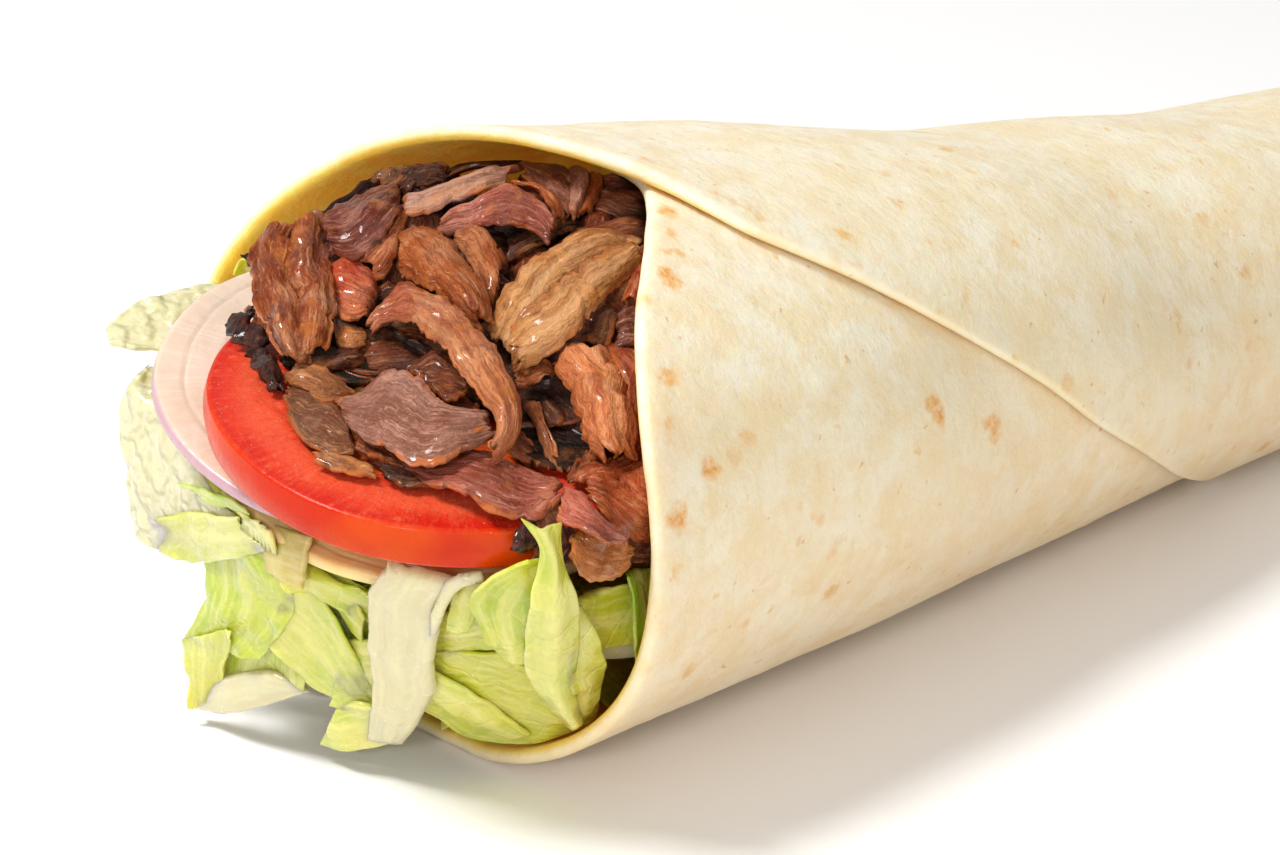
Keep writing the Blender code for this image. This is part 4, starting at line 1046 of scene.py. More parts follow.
    ("brown", dict(bulge=1.2, thick=2.0, rag=0.8),
     [(-2.4, -21.1, 47.1), (-1.8, -22.8, 46.5), (-2.4, -26.1, 45.8)],
     [(-5.9, -23.7, 45.7), (-5.6, -26.5, 45.3), (-4.6, -29.5, 44.1)]),
    ("hole", dict(bulge=0.8, thick=2.0, rag=0.6),
     [(-1.4, -18.2, 46.9), (2.6, -19.9, 47.5), (4.4, -23.6, 47.0), (5.7, -28.8, 46.6)],
     [(-5.3, -24.1, 44.9), (-4.4, -29.2, 43.4), (-2.1, -31.8, 43.4), (2.8, -32.5, 44.4)]),
    ("hole", dict(bulge=0.8, thick=2.0, rag=0.6),
     [(-10.8, 11.3, 50.8), (-7.7, 8.4, 51.2), (-5.1, 4.9, 51.5), (-1.6, 1.3, 51.3)],
     [(-14.3, 5.9, 48.3), (-11.6, 3.6, 48.3), (-10.2, -2.3, 47.7), (-5.8, -3.6, 48.4)]),
    ("redbrown", dict(bulge=1.2, thick=2.0, rag=0.8),
     [(-6.0, -13.8, 49.1), (-3.8, -14.2, 49.8), (-4.0, -16.9, 49.5)],
     [(-7.3, -16.6, 48.1), (-5.4, -17.5, 48.2), (-3.5, -19.2, 48.5)]),
    ("brown", dict(bulge=1.5, thick=2.2, rag=0.8),
     [(-2.9, -31.2, 44.0), (0.0, -30.5, 44.6), (2.8, -29.5, 45.4)],
     [(-4.3, -34.0, 43.5), (-1.8, -34.5, 43.7), (1.9, -33.0, 44.8)]),
    ("char", dict(bulge=1.2, thick=2.4, rag=1.0, knobs=1),
     [(-13.4, -35.2, 43.1), (-15.2, -35.5, 41.7), (-15.2, -36.0, 40.0)],
     [(-11.1, -35.0, 42.2), (-12.5, -36.2, 41.1), (-14.3, -36.4, 39.2)]),
    ("darkred", dict(bulge=1.0, thick=2.0, rag=0.8),
     [(-10.3, -33.2, 41.7), (-12.1, -34.5, 40.4), (-12.8, -35.1, 38.3)],
     [(-6.5, -35.1, 41.2), (-8.0, -37.8, 40.3), (-8.8, -37.7, 37.6)]),
    ("cooked", dict(bulge=1.6, thick=2.6, rag=0.6, knobs=0.6),
     [(-8.4, -38.0, 41.2), (-7.5, -41.2, 41.4), (-4.2, -41.5, 40.0), (-0.1, -40.2, 37.5)],
     [(-11.0, -41.2, 39.5), (-9.1, -42.1, 36.4), (-6.3, -42.3, 35.1), (-1.5, -41.5, 35.8)]),
    ("cooked", dict(bulge=0.8, thick=1.8, rag=0.8, knobs=0.4),
     [(-23.8, -10.6, 45.7), (-22.1, -11.8, 46.2), (-20.7, -14.4, 45.9), (-19.9, -17.7, 44.8)],
     [(-25.1, -12.8, 45.8), (-24.2, -15.7, 45.5), (-22.8, -17.9, 44.9), (-21.3, -19.5, 44.5)]),
    ("dark", dict(bulge=0.8, thick=1.8, rag=1.0, knobs=0.6),
     [(-19.1, -16.6, 44.6), (-18.0, -18.7, 44.3), (-16.5, -21.0, 44.3), (-15.1, -24.3, 44.4)],
     [(-20.8, -20.0, 44.5), (-19.7, -22.6, 44.0), (-18.0, -24.7, 44.4), (-16.3, -25.8, 44.3)]),
    ("darkred", dict(bulge=1.5, thick=2.2, rag=0.8),
     [(-2.1, -39.8, 39.6), (2.5, -37.8, 38.0), (9.1, -34.9, 35.6)],
     [(-1.8, -39.7, 36.5), (2.4, -37.9, 34.4), (9.4, -35.0, 31.4)]),
    ("maroon", dict(bulge=1.5, thick=2.2, rag=0.8),
     [(12.9, 16.0, 62.4), (12.1, 9.5, 60.9), (13.0, 5.0, 60.7), (14.5, -1.9, 60.2)],
     [(5.7, 9.8, 57.8), (7.3, 4.0, 57.0), (8.4, -1.3, 57.8), (10.3, -6.6, 57.9)]),
    ("brown", dict(bulge=1.5, thick=2.2, rag=0.8),
     [(-0.1, 15.7, 58.8), (2.5, 12.1, 57.9), (5.0, 8.9, 57.0), (5.6, 6.4, 56.4)],
     [(-2.2, 10.5, 54.2), (-0.7, 7.3, 53.5), (2.0, 5.6, 54.1), (3.8, 3.3, 54.6)]),
    ("darkred", dict(bulge=1.5, thick=2.2, rag=0.8),
     [(16.6, 0.4, 61.0), (21.2, -0.9, 61.4), (26.8, -1.1, 61.3), (34.7, -5.5, 61.3)],
     [(13.5, -3.0, 59.2), (17.9, -3.5, 59.8), (25.0, -3.1, 59.9), (31.3, -9.0, 60.3)]),
]


def random_slices(heap, rand, count, depth, tones, size, seed0):
    """Slices that fill the heap behind the placed ones."""
    placed = []
    tries = 0
    while len(placed) < count and tries < 4000:
        tries += 1
        y, z = rand.uniform(-37, 31), rand.uniform(36, 67)
        x = float(front_x(y, z)) + rand.uniform(*depth)
        a, b, zc = (float(v) for v in half_axes(max(x, 0.0)))
        if (abs(y) / (a - 5)) ** POWER + (abs(z - zc) / (b - 5)) ** POWER > 1:
            continue
        if x < 24:
            n = slice_frame(TOMATO)[0]
            if (np.array([x, y, z]) - np.array(TOMATO["centre"])) @ n < 2.0:
                continue
        if any((y - q[1]) ** 2 + (z - q[2]) ** 2 + 0.5 * (x - q[0]) ** 2 < 4.2 ** 2 for q in placed):
            continue
        placed.append((x, y, z))
        k = len(placed)
        normal = np.array([-0.63, -0.62, 0.42]) + rand.normal(0, 0.32, 3)
        normal /= np.linalg.norm(normal)
        t = rand.normal(0, 1, 3)
        t -= normal * (t @ normal)
        t /= np.linalg.norm(t)
        side = np.cross(normal, t)
        length, width = rand.uniform(*size[0]), rand.uniform(*size[1])
        bend = rand.uniform(0.5, 4.0)
        c = np.array([x, y, z])
        ea, eb = [], []
        for f in (-1.0, -0.33, 0.33, 1.0):
            p = c + t * f * length / 2 - normal * bend * f * f + side * rand.uniform(-1.2, 1.2)
            h = width / 2 * (1 - 0.25 * f * f) * rand.uniform(0.8, 1.15)
            ea.append(tuple(p + side * h))
            eb.append(tuple(p - side * h))
        seen = sight(np.array(ea + eb))
        q = np.array(ea + eb)
        if not in_outline(seen[:, 1], seen[:, 2]).all() or (q[:, 0] - front_x(q[:, 1], q[:, 2])).min() < 2.5:
            placed.pop()
            continue
        spec = dict(bulge=rand.uniform(0.8, 3.0), thick=rand.uniform(1.8, 2.6), rag=rand.uniform(0.7, 1.1), reach=-14.0)
        meat_slice(heap, tones[int(rand.integers(len(tones)))], spec, ea, eb, seed0 + k, pitch=0.85)


def make_meat():
    heap = Heap()
    for k, (tone, spec, a, b) in enumerate(MEAT):
        meat_slice(heap, tone, spec, a, b, k + 1)
    obj = heap.build("meat_slices", meat_material())
    rand = np.random.default_rng(11)
    back = Heap()
    random_slices(back, rand, 50, (4.5, 9.0), ("brown", "redbrown", "maroon", "mauve", "greybrown", "orangebrown", "redbrown"),
                  ((12, 22), (6, 11)), 300)
    # the deepest layer takes only dark meat tones, which also paint its shade
    random_slices(back, rand, 34, (11.0, 16.0), ("darkred", "redbrown", "maroon", "darkred"), ((14, 24), (8, 13)), 600)
    n, u, v = slice_frame(TOMATO)
    for k in range(60):
        r, ang = 25 * math.sqrt(rand.uniform(0, 1)), rand.uniform(0, 2 * math.pi)
        c = np.array(TOMATO["centre"]) + n * rand.uniform(1.6, 3.2) + u * r * math.cos(ang) + v * r * math.sin(ang)
        turn = rand.uniform(0, math.pi)
        t = u * math.cos(turn) + v * math.sin(turn)
        side = np.cross(n, t)
        half, wide = rand.uniform(4, 7), rand.uniform(2.5, 4)
        ea = [tuple(c + t * f * half + side * wide + n * rand.uniform(-0.6, 0.6)) for f in (-1.0, 0.0, 1.0)]
        eb = [tuple(c + t * f * half - side * wide + n * rand.uniform(-0.6, 0.6)) for f in (-1.0, 0.0, 1.0)]
        seen = sight(np.array(ea + eb))
        q = np.array(ea + eb)
        if in_outline(seen[:, 1], seen[:, 2]).all() and (q[:, 0] - front_x(q[:, 1], q[:, 2])).min() > 2.0:
            meat_slice(back, ("darkred", "redbrown", "dark")[k % 3], dict(bulge=1.0, thick=2.0, rag=0.7, reach=-14.0), ea, eb, 900 + k, pitch=0.85)
    print("TRIS front", len(heap.v) and sum(len(f) for f in heap.f) * 2, "back", sum(len(f) for f in back.f) * 2)
    obj2 = back.build("meat_slices_behind", obj.data.materials[0])
    return obj, obj2


meat, meat_behind = make_meat()
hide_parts("meat")

# ---------------------------------------------------------------------- tomato
def disc_points(spec, u, v, h):
    """Place disc coordinates in millimetres: u, v in the slice's plane and h
    above its upper face."""
    n, ux, uy = slice_frame(spec)
    c = np.array(spec["centre"])
    return c + u[..., None] * ux + v[..., None] * uy + h[..., None] * n


def tomato_outline(a):
    return 1.0 + 0.006 * np.sin(5 * a + 0.6) + 0.004 * np.sin(3 * a)


def locules(u, v, r):
    """How far into one of the seed chambers a place lies, 0 to 1."""
    a = np.arctan2(v, u)
    best = np.zeros_like(u)
    for k, (c, half, r0, r1) in enumerate(((0.2, 0.42, 8.0, 21.5), (1.3, 0.46, 9.0, 22.5), (2.45, 0.44, 8.0, 21.0),
                                           (3.6, 0.46, 8.5, 22.0), (4.65, 0.36, 9.0, 21.5), (5.5, 0.34, 8.5, 22.0))):
        da = np.abs((a - c + math.pi) % (2 * math.pi) - math.pi)
        wob = 1 + 0.12 * np.sin(3 * a + k) + 0.08 * np.sin(7 * a - k)
        q = np.maximum(da * r / (half * 0.5 * (r0 + r1)) , np.abs(r - 0.5 * (r0 + r1)) / (0.5 * (r1 - r0))) / wob
        q = np.sqrt(0.5 * (q ** 2 + np.clip((da * r / (half * 15)) ** 2 + (np.abs(r - 0.5 * (r0 + r1)) / (0.5 * (r1 - r0))) ** 2, 0, 9) * 0.5))
        best = np.maximum(best, 1 - smooth(0.72, 0.92, q))
    return best


def tomato_material():
    m = Nodes("tomato")
    p = m.coords()
    skin, pulp, rad, wall = m.attr("skin"), m.attr("pulp"), m.attr("radial"), m.attr("wall")
    uv = m.tree.nodes.new("ShaderNodeUVMap").outputs[0]
    streak = m.noise(m.vmath('MULTIPLY', uv, (1.6, 0.22, 1.0)), 1.0, 4.0, 0.6)
    grain = m.noise(p, 1.1, 4.0, 0.65)
    soft = m.noise(p, 0.13, 3.0, 0.5)
    flesh = m.mix(m.span(streak, 0.3, 0.7), srgb(216, 52, 30), srgb(226, 72, 44))
    flesh = m.mix(m.math('MULTIPLY', m.span(soft, 0.38, 0.66), 0.7), flesh, srgb(204, 34, 22))
    flesh = m.mix(m.math('MULTIPLY', m.span(rad, 0.90, 0.985), 0.8), flesh, srgb(202, 22, 16))
    band = m.math('MULTIPLY', m.span(rad, 0.66, 0.78), m.span(rad, 0.92, 0.84))
    flesh = m.mix(m.math('MULTIPLY', m.math('MULTIPLY', band, wall), 0.45), flesh, srgb(236, 104, 70))
    flesh = m.mix(m.math('MULTIPLY', m.span(m.noise(p, 0.5, 4.0, 0.7), 0.56, 0.72), 0.45), flesh, srgb(240, 130, 92))
    # pale veins that run out through the wall of the fruit
    vein = m.span(m.math('ABSOLUTE', m.math('SUBTRACT', m.noise(m.vmath('MULTIPLY', uv, (0.55, 0.10, 1.0)), 1.0, 3.0), 0.5)), 0.0, 0.035, 1.0, 0.0)
    flesh = m.mix(m.math('MULTIPLY', m.math('MULTIPLY', vein, wall), 0.12), flesh, srgb(240, 140, 100))
    # tiny pale dots on the cells: painted glints, also raised a little by the bump
    cell = m.voronoi(p, 1.5)
    glint_dots = m.math('MULTIPLY', m.span(cell.outputs["Distance"], 0.08, 0.24, 1.0, 0.0), m.span(m.noise(p, 0.7, 2.0), 0.48, 0.62))
    flesh = m.mix(m.math('MULTIPLY', glint_dots, 0.55), flesh, srgb(250, 176, 150))
    gel = m.mix(m.span(grain, 0.35, 0.65), srgb(196, 52, 16), srgb(222, 104, 34))
    flesh = m.mix(pulp, flesh, gel)
    rind = m.mix(m.span(m.noise(p, 0.09, 2.0), 0.35, 0.65), srgb(200, 42, 0), srgb(214, 72, 2))
    rind = m.mix(m.math('MULTIPLY', m.span(m.noise(p, 0.12, 3.0, 0.6), 0.5, 0.75), 0.35), rind, srgb(228, 84, 26))
    colour = m.mix(1.0, m.mix(skin, flesh, rind), (0.92, 0.88, 0.78), 'MULTIPLY')
    m.put(m.shader.inputs["Base Color"], colour)
    m.put(m.shader.inputs["Roughness"], m.span(grain, 0.35, 0.65, 0.2, 0.34))
    m.shader.inputs["Specular IOR Level"].default_value = 0.16
    m.shader.inputs["Subsurface Weight"].default_value = 0.15
    m.shader.inputs["Subsurface Radius"].default_value = (1.0, 0.22, 0.1)
    m.shader.inputs["Subsurface Scale"].default_value = 0.0025
    m.shader.inputs["Coat Weight"].default_value = 0.08
    m.shader.inputs["Coat Roughness"].default_value = 0.12
    h = m.math('MULTIPLY', m.math('ADD', m.math('MULTIPLY', grain, 0.7), m.math('MULTIPLY', glint_dots, 0.4)), m.span(skin, 0.0, 1.0, 1.0, 0.12, 'LINEAR'))
    h = m.math('ADD', h, m.math('MULTIPLY', m.noise(p, 0.4, 2.0), 0.35))
    m.put(m.shader.inputs["Normal"], m.bump(h, 0.0005, 0.7))
    return m.mat


def make_tomato():
    spec = TOMATO
    R, T = spec["radius"], spec["thick"]
    na = 300
    ang = np.arange(na) * 2 * math.pi / na
    radii = np.concatenate([np.linspace(0.6, R - 1.2, 64), R - 1.2 + 1.2 * np.sin(np.linspace(0, math.pi / 2, 9))[1:-1]])
    # profile from the middle of the upper face, round the skin, to the lower face
    prof = [(r, 0.0, 0.0) for r in np.linspace(0.4, R - 1.0, 62)]
    round_edge = 0.55
    for k in range(1, 8):
        t = math.pi / 2 * k / 7
        prof.append((R - 1.0 + 0.9 * math.sin(t) * 0.9, -round_edge * (1 - math.cos(t)), 0.15 + 0.85 * k / 7))
    for k in range(1, 14):
        f = k / 13.0
        belly = 0.35 * math.sin(math.pi * f)
        prof.append((R - 0.19 + belly, -round_edge - f * (T - 2 * round_edge), 1.0))
    for k in range(1, 8):
        t = math.pi / 2 * (1 - k / 7)
        prof.append((R - 1.0 + 0.9 * math.sin(t) * 0.9, -T + round_edge * (1 - math.cos(t)), 1.0 - 0.85 * k / 7))
    prof += [(r, -T, 0.0) for r in np.linspace(R - 1.0, 0.4, 40)[1:]]
    prof = np.array(prof)
    npf = len(prof)
    r = prof[:, 0][None, :] * tomato_outline(ang)[:, None]
    u, v = r * np.cos(ang)[:, None], r * np.sin(ang)[:, None]
    h = np.repeat(prof[:, 1][None], na, 0).copy()
    skin = np.repeat(prof[:, 2][None], na, 0)
    face = skin < 0.01
    upper = face & (np.arange(npf)[None, :] < npf // 2)
    lower = face & ~upper
    sunk = locules(u, v, r)
    q = np.stack([u, v, 0 * u], -1).reshape(-1, 3)
    fine = (0.10 * noise3(q * 0.5, 51) + 0.07 * noise3(q * 1.4, 52)).reshape(u.shape)
    broad = 0.16 * noise3(q * 0.10, 53).reshape(u.shape)
    gel = (0.30 * np.clip(fractal(q * 0.35, 54, 2), -0.6, 1)).reshape(u.shape)
    rel = (fine + broad) * smooth(R - 0.5, R - 2.5, r) - sunk * (0.75 - gel)
    h = h + np.where(upper, rel, 0) - np.where(lower, rel, 0)
    P = disc_points(spec, u, v, h)
    dent = 0.10 * noise3(P.reshape(-1, 3) * 0.22, 55).reshape(u.shape) * skin
    nrm = slice_frame(spec)
    P = P + (np.cos(ang)[:, None, None] * nrm[1] + np.sin(ang)[:, None, None] * nrm[2]) * dent[..., None]
    verts = P.reshape(-1, 3)
    faces = grid_faces(na, npf, wrap_u=True)
    caps = []
    verts = np.vstack([verts, P[:, 0].mean(0)[None], P[:, -1].mean(0)[None]])
    c0, c1 = na * npf, na * npf + 1
    ring0 = np.arange(na) * npf
    ring1 = ring0 + npf - 1
    tri = [[ring0[i], c0, ring0[(i + 1) % na], ring0[(i + 1) % na]] for i in range(na)]
    tri += [[ring1[(i + 1) % na], c1, ring1[i], ring1[i]] for i in range(na)]
    uvx = np.repeat((ang * 26.0)[:, None], npf, 1)
    uv = np.stack([np.append(uvx.ravel(), [0, 0]), np.append(r.ravel(), [0, 0])], 1)
    wall = smooth(20.5, 23.5, r)
    pad = lambda a: np.append(a.ravel(), [0, 0])
    obj = solid_object("tomato_flesh", verts, faces, tri, tomato_material(), uv,
                       {"skin": pad(skin), "pulp": pad(sunk), "radial": pad(r / R), "wall": pad(wall)})
    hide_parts("tomato_slice")
    # seeds that sit in the pulp
    rand = np.random.default_rng(5)
    heap = Heap()
    while len(heap.v) < 46:
        a, rr = rand.uniform(0, 2 * math.pi), rand.uniform(9, 21)
        uu, vv = np.array([rr * math.cos(a)]), np.array([rr * math.sin(a)])
        if locules(uu, vv, np.array([rr]))[0] < 0.9:
            continue
        th, ph = np.meshgrid(np.linspace(0, 2 * math.pi, 13)[:-1], np.linspace(0.05, math.pi - 0.05, 7), indexing="ij")
        yaw = rand.uniform(0, math.pi)
        x, y, z = 1.35 * np.cos(ph), 0.85 * np.sin(ph) * np.cos(th), 0.42 * np.sin(ph) * np.sin(th)
        su = uu[0] + x * math.cos(yaw) - y * math.sin(yaw)
        sv = vv[0] + x * math.sin(yaw) + y * math.cos(yaw)
        pts = disc_points(spec, su, sv, z - 0.45)
        f = grid_faces(12, 7, wrap_u=True)
        caps_ = []
        base = pts.reshape(-1, 3)
        heap.add(base, f, np.zeros((len(base), 2)))
    seeds = Nodes("tomato_seed")
    pp = seeds.coords()
    seeds.put(seeds.shader.inputs["Base Color"], seeds.mix(seeds.noise(pp, 1.2, 2.0), srgb(226, 168, 84), srgb(240, 204, 132)))
    seeds.shader.inputs["Roughness"].default_value = 0.25
    seeds.put(seeds.shader.inputs["Normal"], seeds.bump(seeds.noise(pp, 3.0, 2.0), 0.0002, 0.5))
    heap.build("tomato_seeds", seeds.mat)


def solid_object(name, verts, quads, tris, material, uv, attrs):
    """A piece of quads and of triangles written as quads with a doubled corner."""
    mesh = bpy.data.meshes.new(name)
    co = (np.asarray(verts) * MM + ORIGIN)
    faces = [tuple(int(i) for i in f) for f in quads] + [tuple(int(i) for i in f[:3]) for f in tris]
    mesh.from_pydata([tuple(c) for c in co], [], faces)
    loops = np.zeros(len(mesh.loops), np.int32)
    mesh.loops.foreach_get("vertex_index", loops)
    layer = mesh.uv_layers.new(name="UVMap")
    layer.data.foreach_set("uv", np.asarray(uv, np.float32)[loops].ravel())
    for key, values in attrs.items():
        mesh.attributes.new(key, 'FLOAT', 'POINT').data.foreach_set("value", np.asarray(values, np.float32))
    mesh.validate()
    mesh.shade_smooth()
    obj = bpy.data.objects.new(name, mesh)
    bpy.context.scene.collection.objects.link(obj)
    mesh.materials.append(material)
    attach(obj, "root")
    return obj


make_tomato()


# ---------------------------------------------------------------------- onions
def onion_outline(a):
    return 1.0 + 0.010 * np.sin(2 * a + 0.4) + 0.005 * np.sin(7 * a)


def onion_material(name, pale, warm, warmth):
    m = Nodes(name)
    p = m.coords()
    rad, ring, edge = m.attr("radial"), m.attr("ring"), m.attr("edge")
    uv = m.tree.nodes.new("ShaderNodeUVMap").outputs[0]
    fibre = m.noise(m.vmath('MULTIPLY', uv, (1.3, 0.10, 1.0)), 1.0, 3.0, 0.6)
    cloud = m.noise(p, 0.16, 3.0, 0.6)
    colour = m.mix(m.span(cloud, 0.3, 0.7), pale, warm)
    colour = m.mix(m.math('MULTIPLY', m.span(fibre, 0.45, 0.75), 0.22), colour, srgb(248, 240, 226))
    colour = m.mix(m.math('MULTIPLY', ring, 0.35), colour, srgb(196, 168, 150))
    colour = m.mix(m.math('MULTIPLY', edge, 0.6 * (1.0 - warmth)), colour, srgb(160, 104, 150))
    m.put(m.shader.inputs["Base Color"], colour)
    m.put(m.shader.inputs["Roughness"], m.span(cloud, 0.3, 0.7, 0.26, 0.4))
    m.shader.inputs["Subsurface Weight"].default_value = 0.4
    m.shader.inputs["Subsurface Radius"].default_value = (1.0, 0.8, 0.6)
    m.shader.inputs["Subsurface Scale"].default_value = 0.003
    m.shader.inputs["Coat Weight"].default_value = 0.15
    m.shader.inputs["Coat Roughness"].default_value = 0.15
    h = m.math('ADD', m.math('MULTIPLY', fibre, 0.4), m.math('MULTIPLY', m.noise(p, 0.8, 3.0), 0.5))
    m.put(m.shader.inputs["Normal"], m.bump(h, 0.0003, 0.6))
    return m.mat


def make_onion(node, spec, material, seed):
    """A slice across an onion: nested rings with fine grooves between."""
    R, T = spec["radius"], spec["thick"]
    na = 260
    ang = np.arange(na) * 2 * math.pi / na
    rr = np.linspace(0.4, R - 0.7, 88)
    prof = [(r, 0.0) for r in rr]
    for k in range(1, 7):
        t = math.pi * k / 7
        prof.append((R - 0.7 + 0.7 * math.sin(t), -T / 2 + T / 2 * math.cos(t)))
    prof += [(r, -T) for r in rr[::-1][::2]]
    prof = np.array(prof)
    npf = len(prof)
    r = prof[:, 0][None, :] * onion_outline(ang)[:, None]
    u, v = r * np.cos(ang)[:, None], r * np.sin(ang)[:, None]
    h = np.repeat(prof[:, 1][None], na, 0).copy()
    wob = 0.5 * np.sin(2 * ang + seed)[:, None] + 0.3 * np.sin(5 * ang + 2 * seed)[:, None]
    pitch = 4.1
    phase = (r + wob) / pitch
    groove = np.exp(-((phase - np.round(phase)) * pitch / 0.16) ** 2) * (r < R - 1.6)
    q = np.stack([u, v, 0 * u + seed * 9], -1).reshape(-1, 3)
    rel = (0.10 * noise3(q * 0.15, 61) + 0.05 * noise3(q * 0.7, 62)).reshape(u.shape) - 0.22 * groove
    top = np.arange(npf)[None, :] < len(rr)
    bottom = np.arange(npf)[None, :] >= npf - len(rr[::2])
    h = h + np.where(top, rel, 0) - np.where(bottom, rel, 0)
    P = disc_points(spec, u, v, h)
    verts = np.vstack([P.reshape(-1, 3), P[:, 0].mean(0)[None], P[:, -1].mean(0)[None]])
    faces = grid_faces(na, npf, wrap_u=True)
    c0, c1 = na * npf, na * npf + 1
    ring0 = np.arange(na) * npf
    ring1 = ring0 + npf - 1
    tri = [[ring0[i], c0, ring0[(i + 1) % na], ring0[(i + 1) % na]] for i in range(na)]
    tri += [[ring1[(i + 1) % na], c1, ring1[i], ring1[i]] for i in range(na)]
    uv = np.stack([np.append(np.repeat((ang * 24.0)[:, None], npf, 1).ravel(), [0, 0]), np.append(r.ravel(), [0, 0])], 1)
    pad = lambda a: np.append(a.ravel(), [0, 0])
    edge = smooth(R - 0.5, R - 0.15, r)
    obj = solid_object(node + "_rings", verts, faces, tri, material, uv,
                       {"radial": pad(r / R), "ring": pad(groove), "edge": pad(edge)})
    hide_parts(node)


def make_scrap(material):
    """A torn bit of onion skin hanging below the tomato."""
    left = [(-21.0, 1.2, 34.2), (-21.6, 1.3, 31.8), (-21.9, -0.1, 30.0), (-22.0, -0.4, 28.2)]
    right = [(-20.9, -7.4, 34.6), (-21.6, -7.6, 32.8), (-21.8, -7.6, 30.8), (-22.2, -7.5, 28.4)]
    length, width = 6.5, 7.8
    s, w = steps(length, 0.35, 0.3), steps(width, 0.35, 0.3)
    S, W = np.meshgrid(s, w, indexing="ij")
    a, b = curve(left, 80), curve(right, 80)
    pick = lambda c, t: np.stack([np.interp(t, np.linspace(0, 1, 80), c[:, k]) for k in range(3)], -1)
    g = pick(a, S) * (1 - W[..., None]) + pick(b, S) * W[..., None]
    f = g.reshape(-1, 3)
    rough = noise3(np.stack([S.ravel() * length * 0.9, 0 * S.ravel(), 0 * S.ravel() + 3], 1), 91).reshape(S.shape)
    g[..., 1] += 0.5 * rough * (np.exp(-W * 5) - np.exp(-(1 - W) * 5))
    g[..., 0] += (0.9 * noise3(f * 0.2 + 40, 92) + 0.15 * noise3(f * 0.9 + 40, 93)).reshape(S.shape) - 0.6
    nrm = normals(g)
    flip = (nrm.reshape(-1, 3) @ np.array([-0.63, -0.68, 0.37])).mean() < 0
    if flip:
        nrm = -nrm
    verts, faces, inner, e = lens(g, nrm, 0.9 + 0 * S, 0.35, length, width, s, w)
    if flip:
        faces = faces[:, ::-1]
    edge = smooth(0.8, 0.2, W * width + 0.4 * rough)
    uv = np.stack([both(S * length, inner), both(W * width, inner)], 1)
    new_object("onion_scrap", verts, faces, material, uv,
               {"edge": both(edge, inner), "ring": both(0 * S, inner), "radial": both(0 * S, inner)})


onion_raw = onion_material("onion_raw", srgb(224, 202, 184), srgb(216, 192, 170), 0.0)
make_onion("onion_slice_upper", ONION_UPPER, onion_raw, 1)
make_scrap(onion_material("onion_scrap", srgb(186, 170, 90), srgb(200, 184, 112), 0.0))
make_onion("onion_slice_lower", ONION_LOWER, onion_material("onion_warm", srgb(250, 222, 156), srgb(244, 206, 134), 1.0), 2)

# --------------------------------------------------------------------- lettuce
GREENS = {
    "wet": (238, 234, 200), "cream": (230, 222, 186), "pale": (218, 222, 132), "yg": (212, 212, 78),
    "green": (192, 210, 62), "bright": (146, 194, 22), "dark": (104, 132, 28),
    "lime": (224, 226, 44),
}


def tuck_behind(p, discs):
    """Points that would stand in front of a slice, seen from the front left,
    slip behind it along the line of sight."""
    eye = np.array([-320.05, -382.95, 237.82])
    d = p - eye
    far = np.linalg.norm(d, axis=1)
    d = d / far[:, None]
    for spec in discs:
        n = slice_frame(spec)[0]
        base = np.array(spec["centre"]) - n * (spec["thick"] + 0.9)
        for level in (base, np.array(spec["centre"]) + n * 0.2):
            t = ((level - eye) @ n) / (d @ n)
            hit = eye + d * t[:, None] - level
            radial = np.linalg.norm(hit, axis=1)
            near = far < t + 0.6
            amount = np.where(near, smooth(spec["radius"] + 3.2, spec["radius"] + 0.4, radial), 0.0)
            far = far + (np.maximum(t + 0.6, far) - far) * amount
    return eye + d * far[:, None]


def keep_out_of_slices(g, margin=0.6):
    """Leaves stay below the slices, inside the bread and above the table."""
    shape = g.shape
    p = g.reshape(-1, 3).copy()
    for spec in (TOMATO, ONION_UPPER, ONION_LOWER):
        n = slice_frame(spec)[0]
        d = p - np.array(spec["centre"])
        h = d @ n
        flat = d - h[:, None] * n
        radial = np.linalg.norm(flat, axis=1)
        bottom = -spec["thick"] - margin
        inside = (h > bottom) & (h < 3.0) & (radial < spec["radius"] + 1.2)
        far = inside & (radial > spec["radius"] - 3.0) & (h > bottom + 2.0)
        near = inside & ~far
        p[near] += n * (bottom - h[near])[:, None]
        p[far] += flat[far] * ((spec["radius"] + 1.2) / radial[far] - 1)[:, None]
    a, b, zc = half_axes(np.maximum(p[:, 0], 0.0))
    gap = 2.5
    k = (np.abs(p[:, 1] / (a - gap)) ** POWER + np.abs((p[:, 2] - zc) / (b - gap)) ** POWER) ** (1 / POWER)
    k = np.where((p[:, 0] > -1.5) & (k > 1), k, 1.0)
    p[:, 1] = p[:, 1] / k
    p[:, 2] = zc + (p[:, 2] - zc) / k
    floor = np.where(p[:, 0] > -2.5, 2.7, 0.5)
    p[:, 2] = np.maximum(p[:, 2], floor)
    return p.reshape(shape)


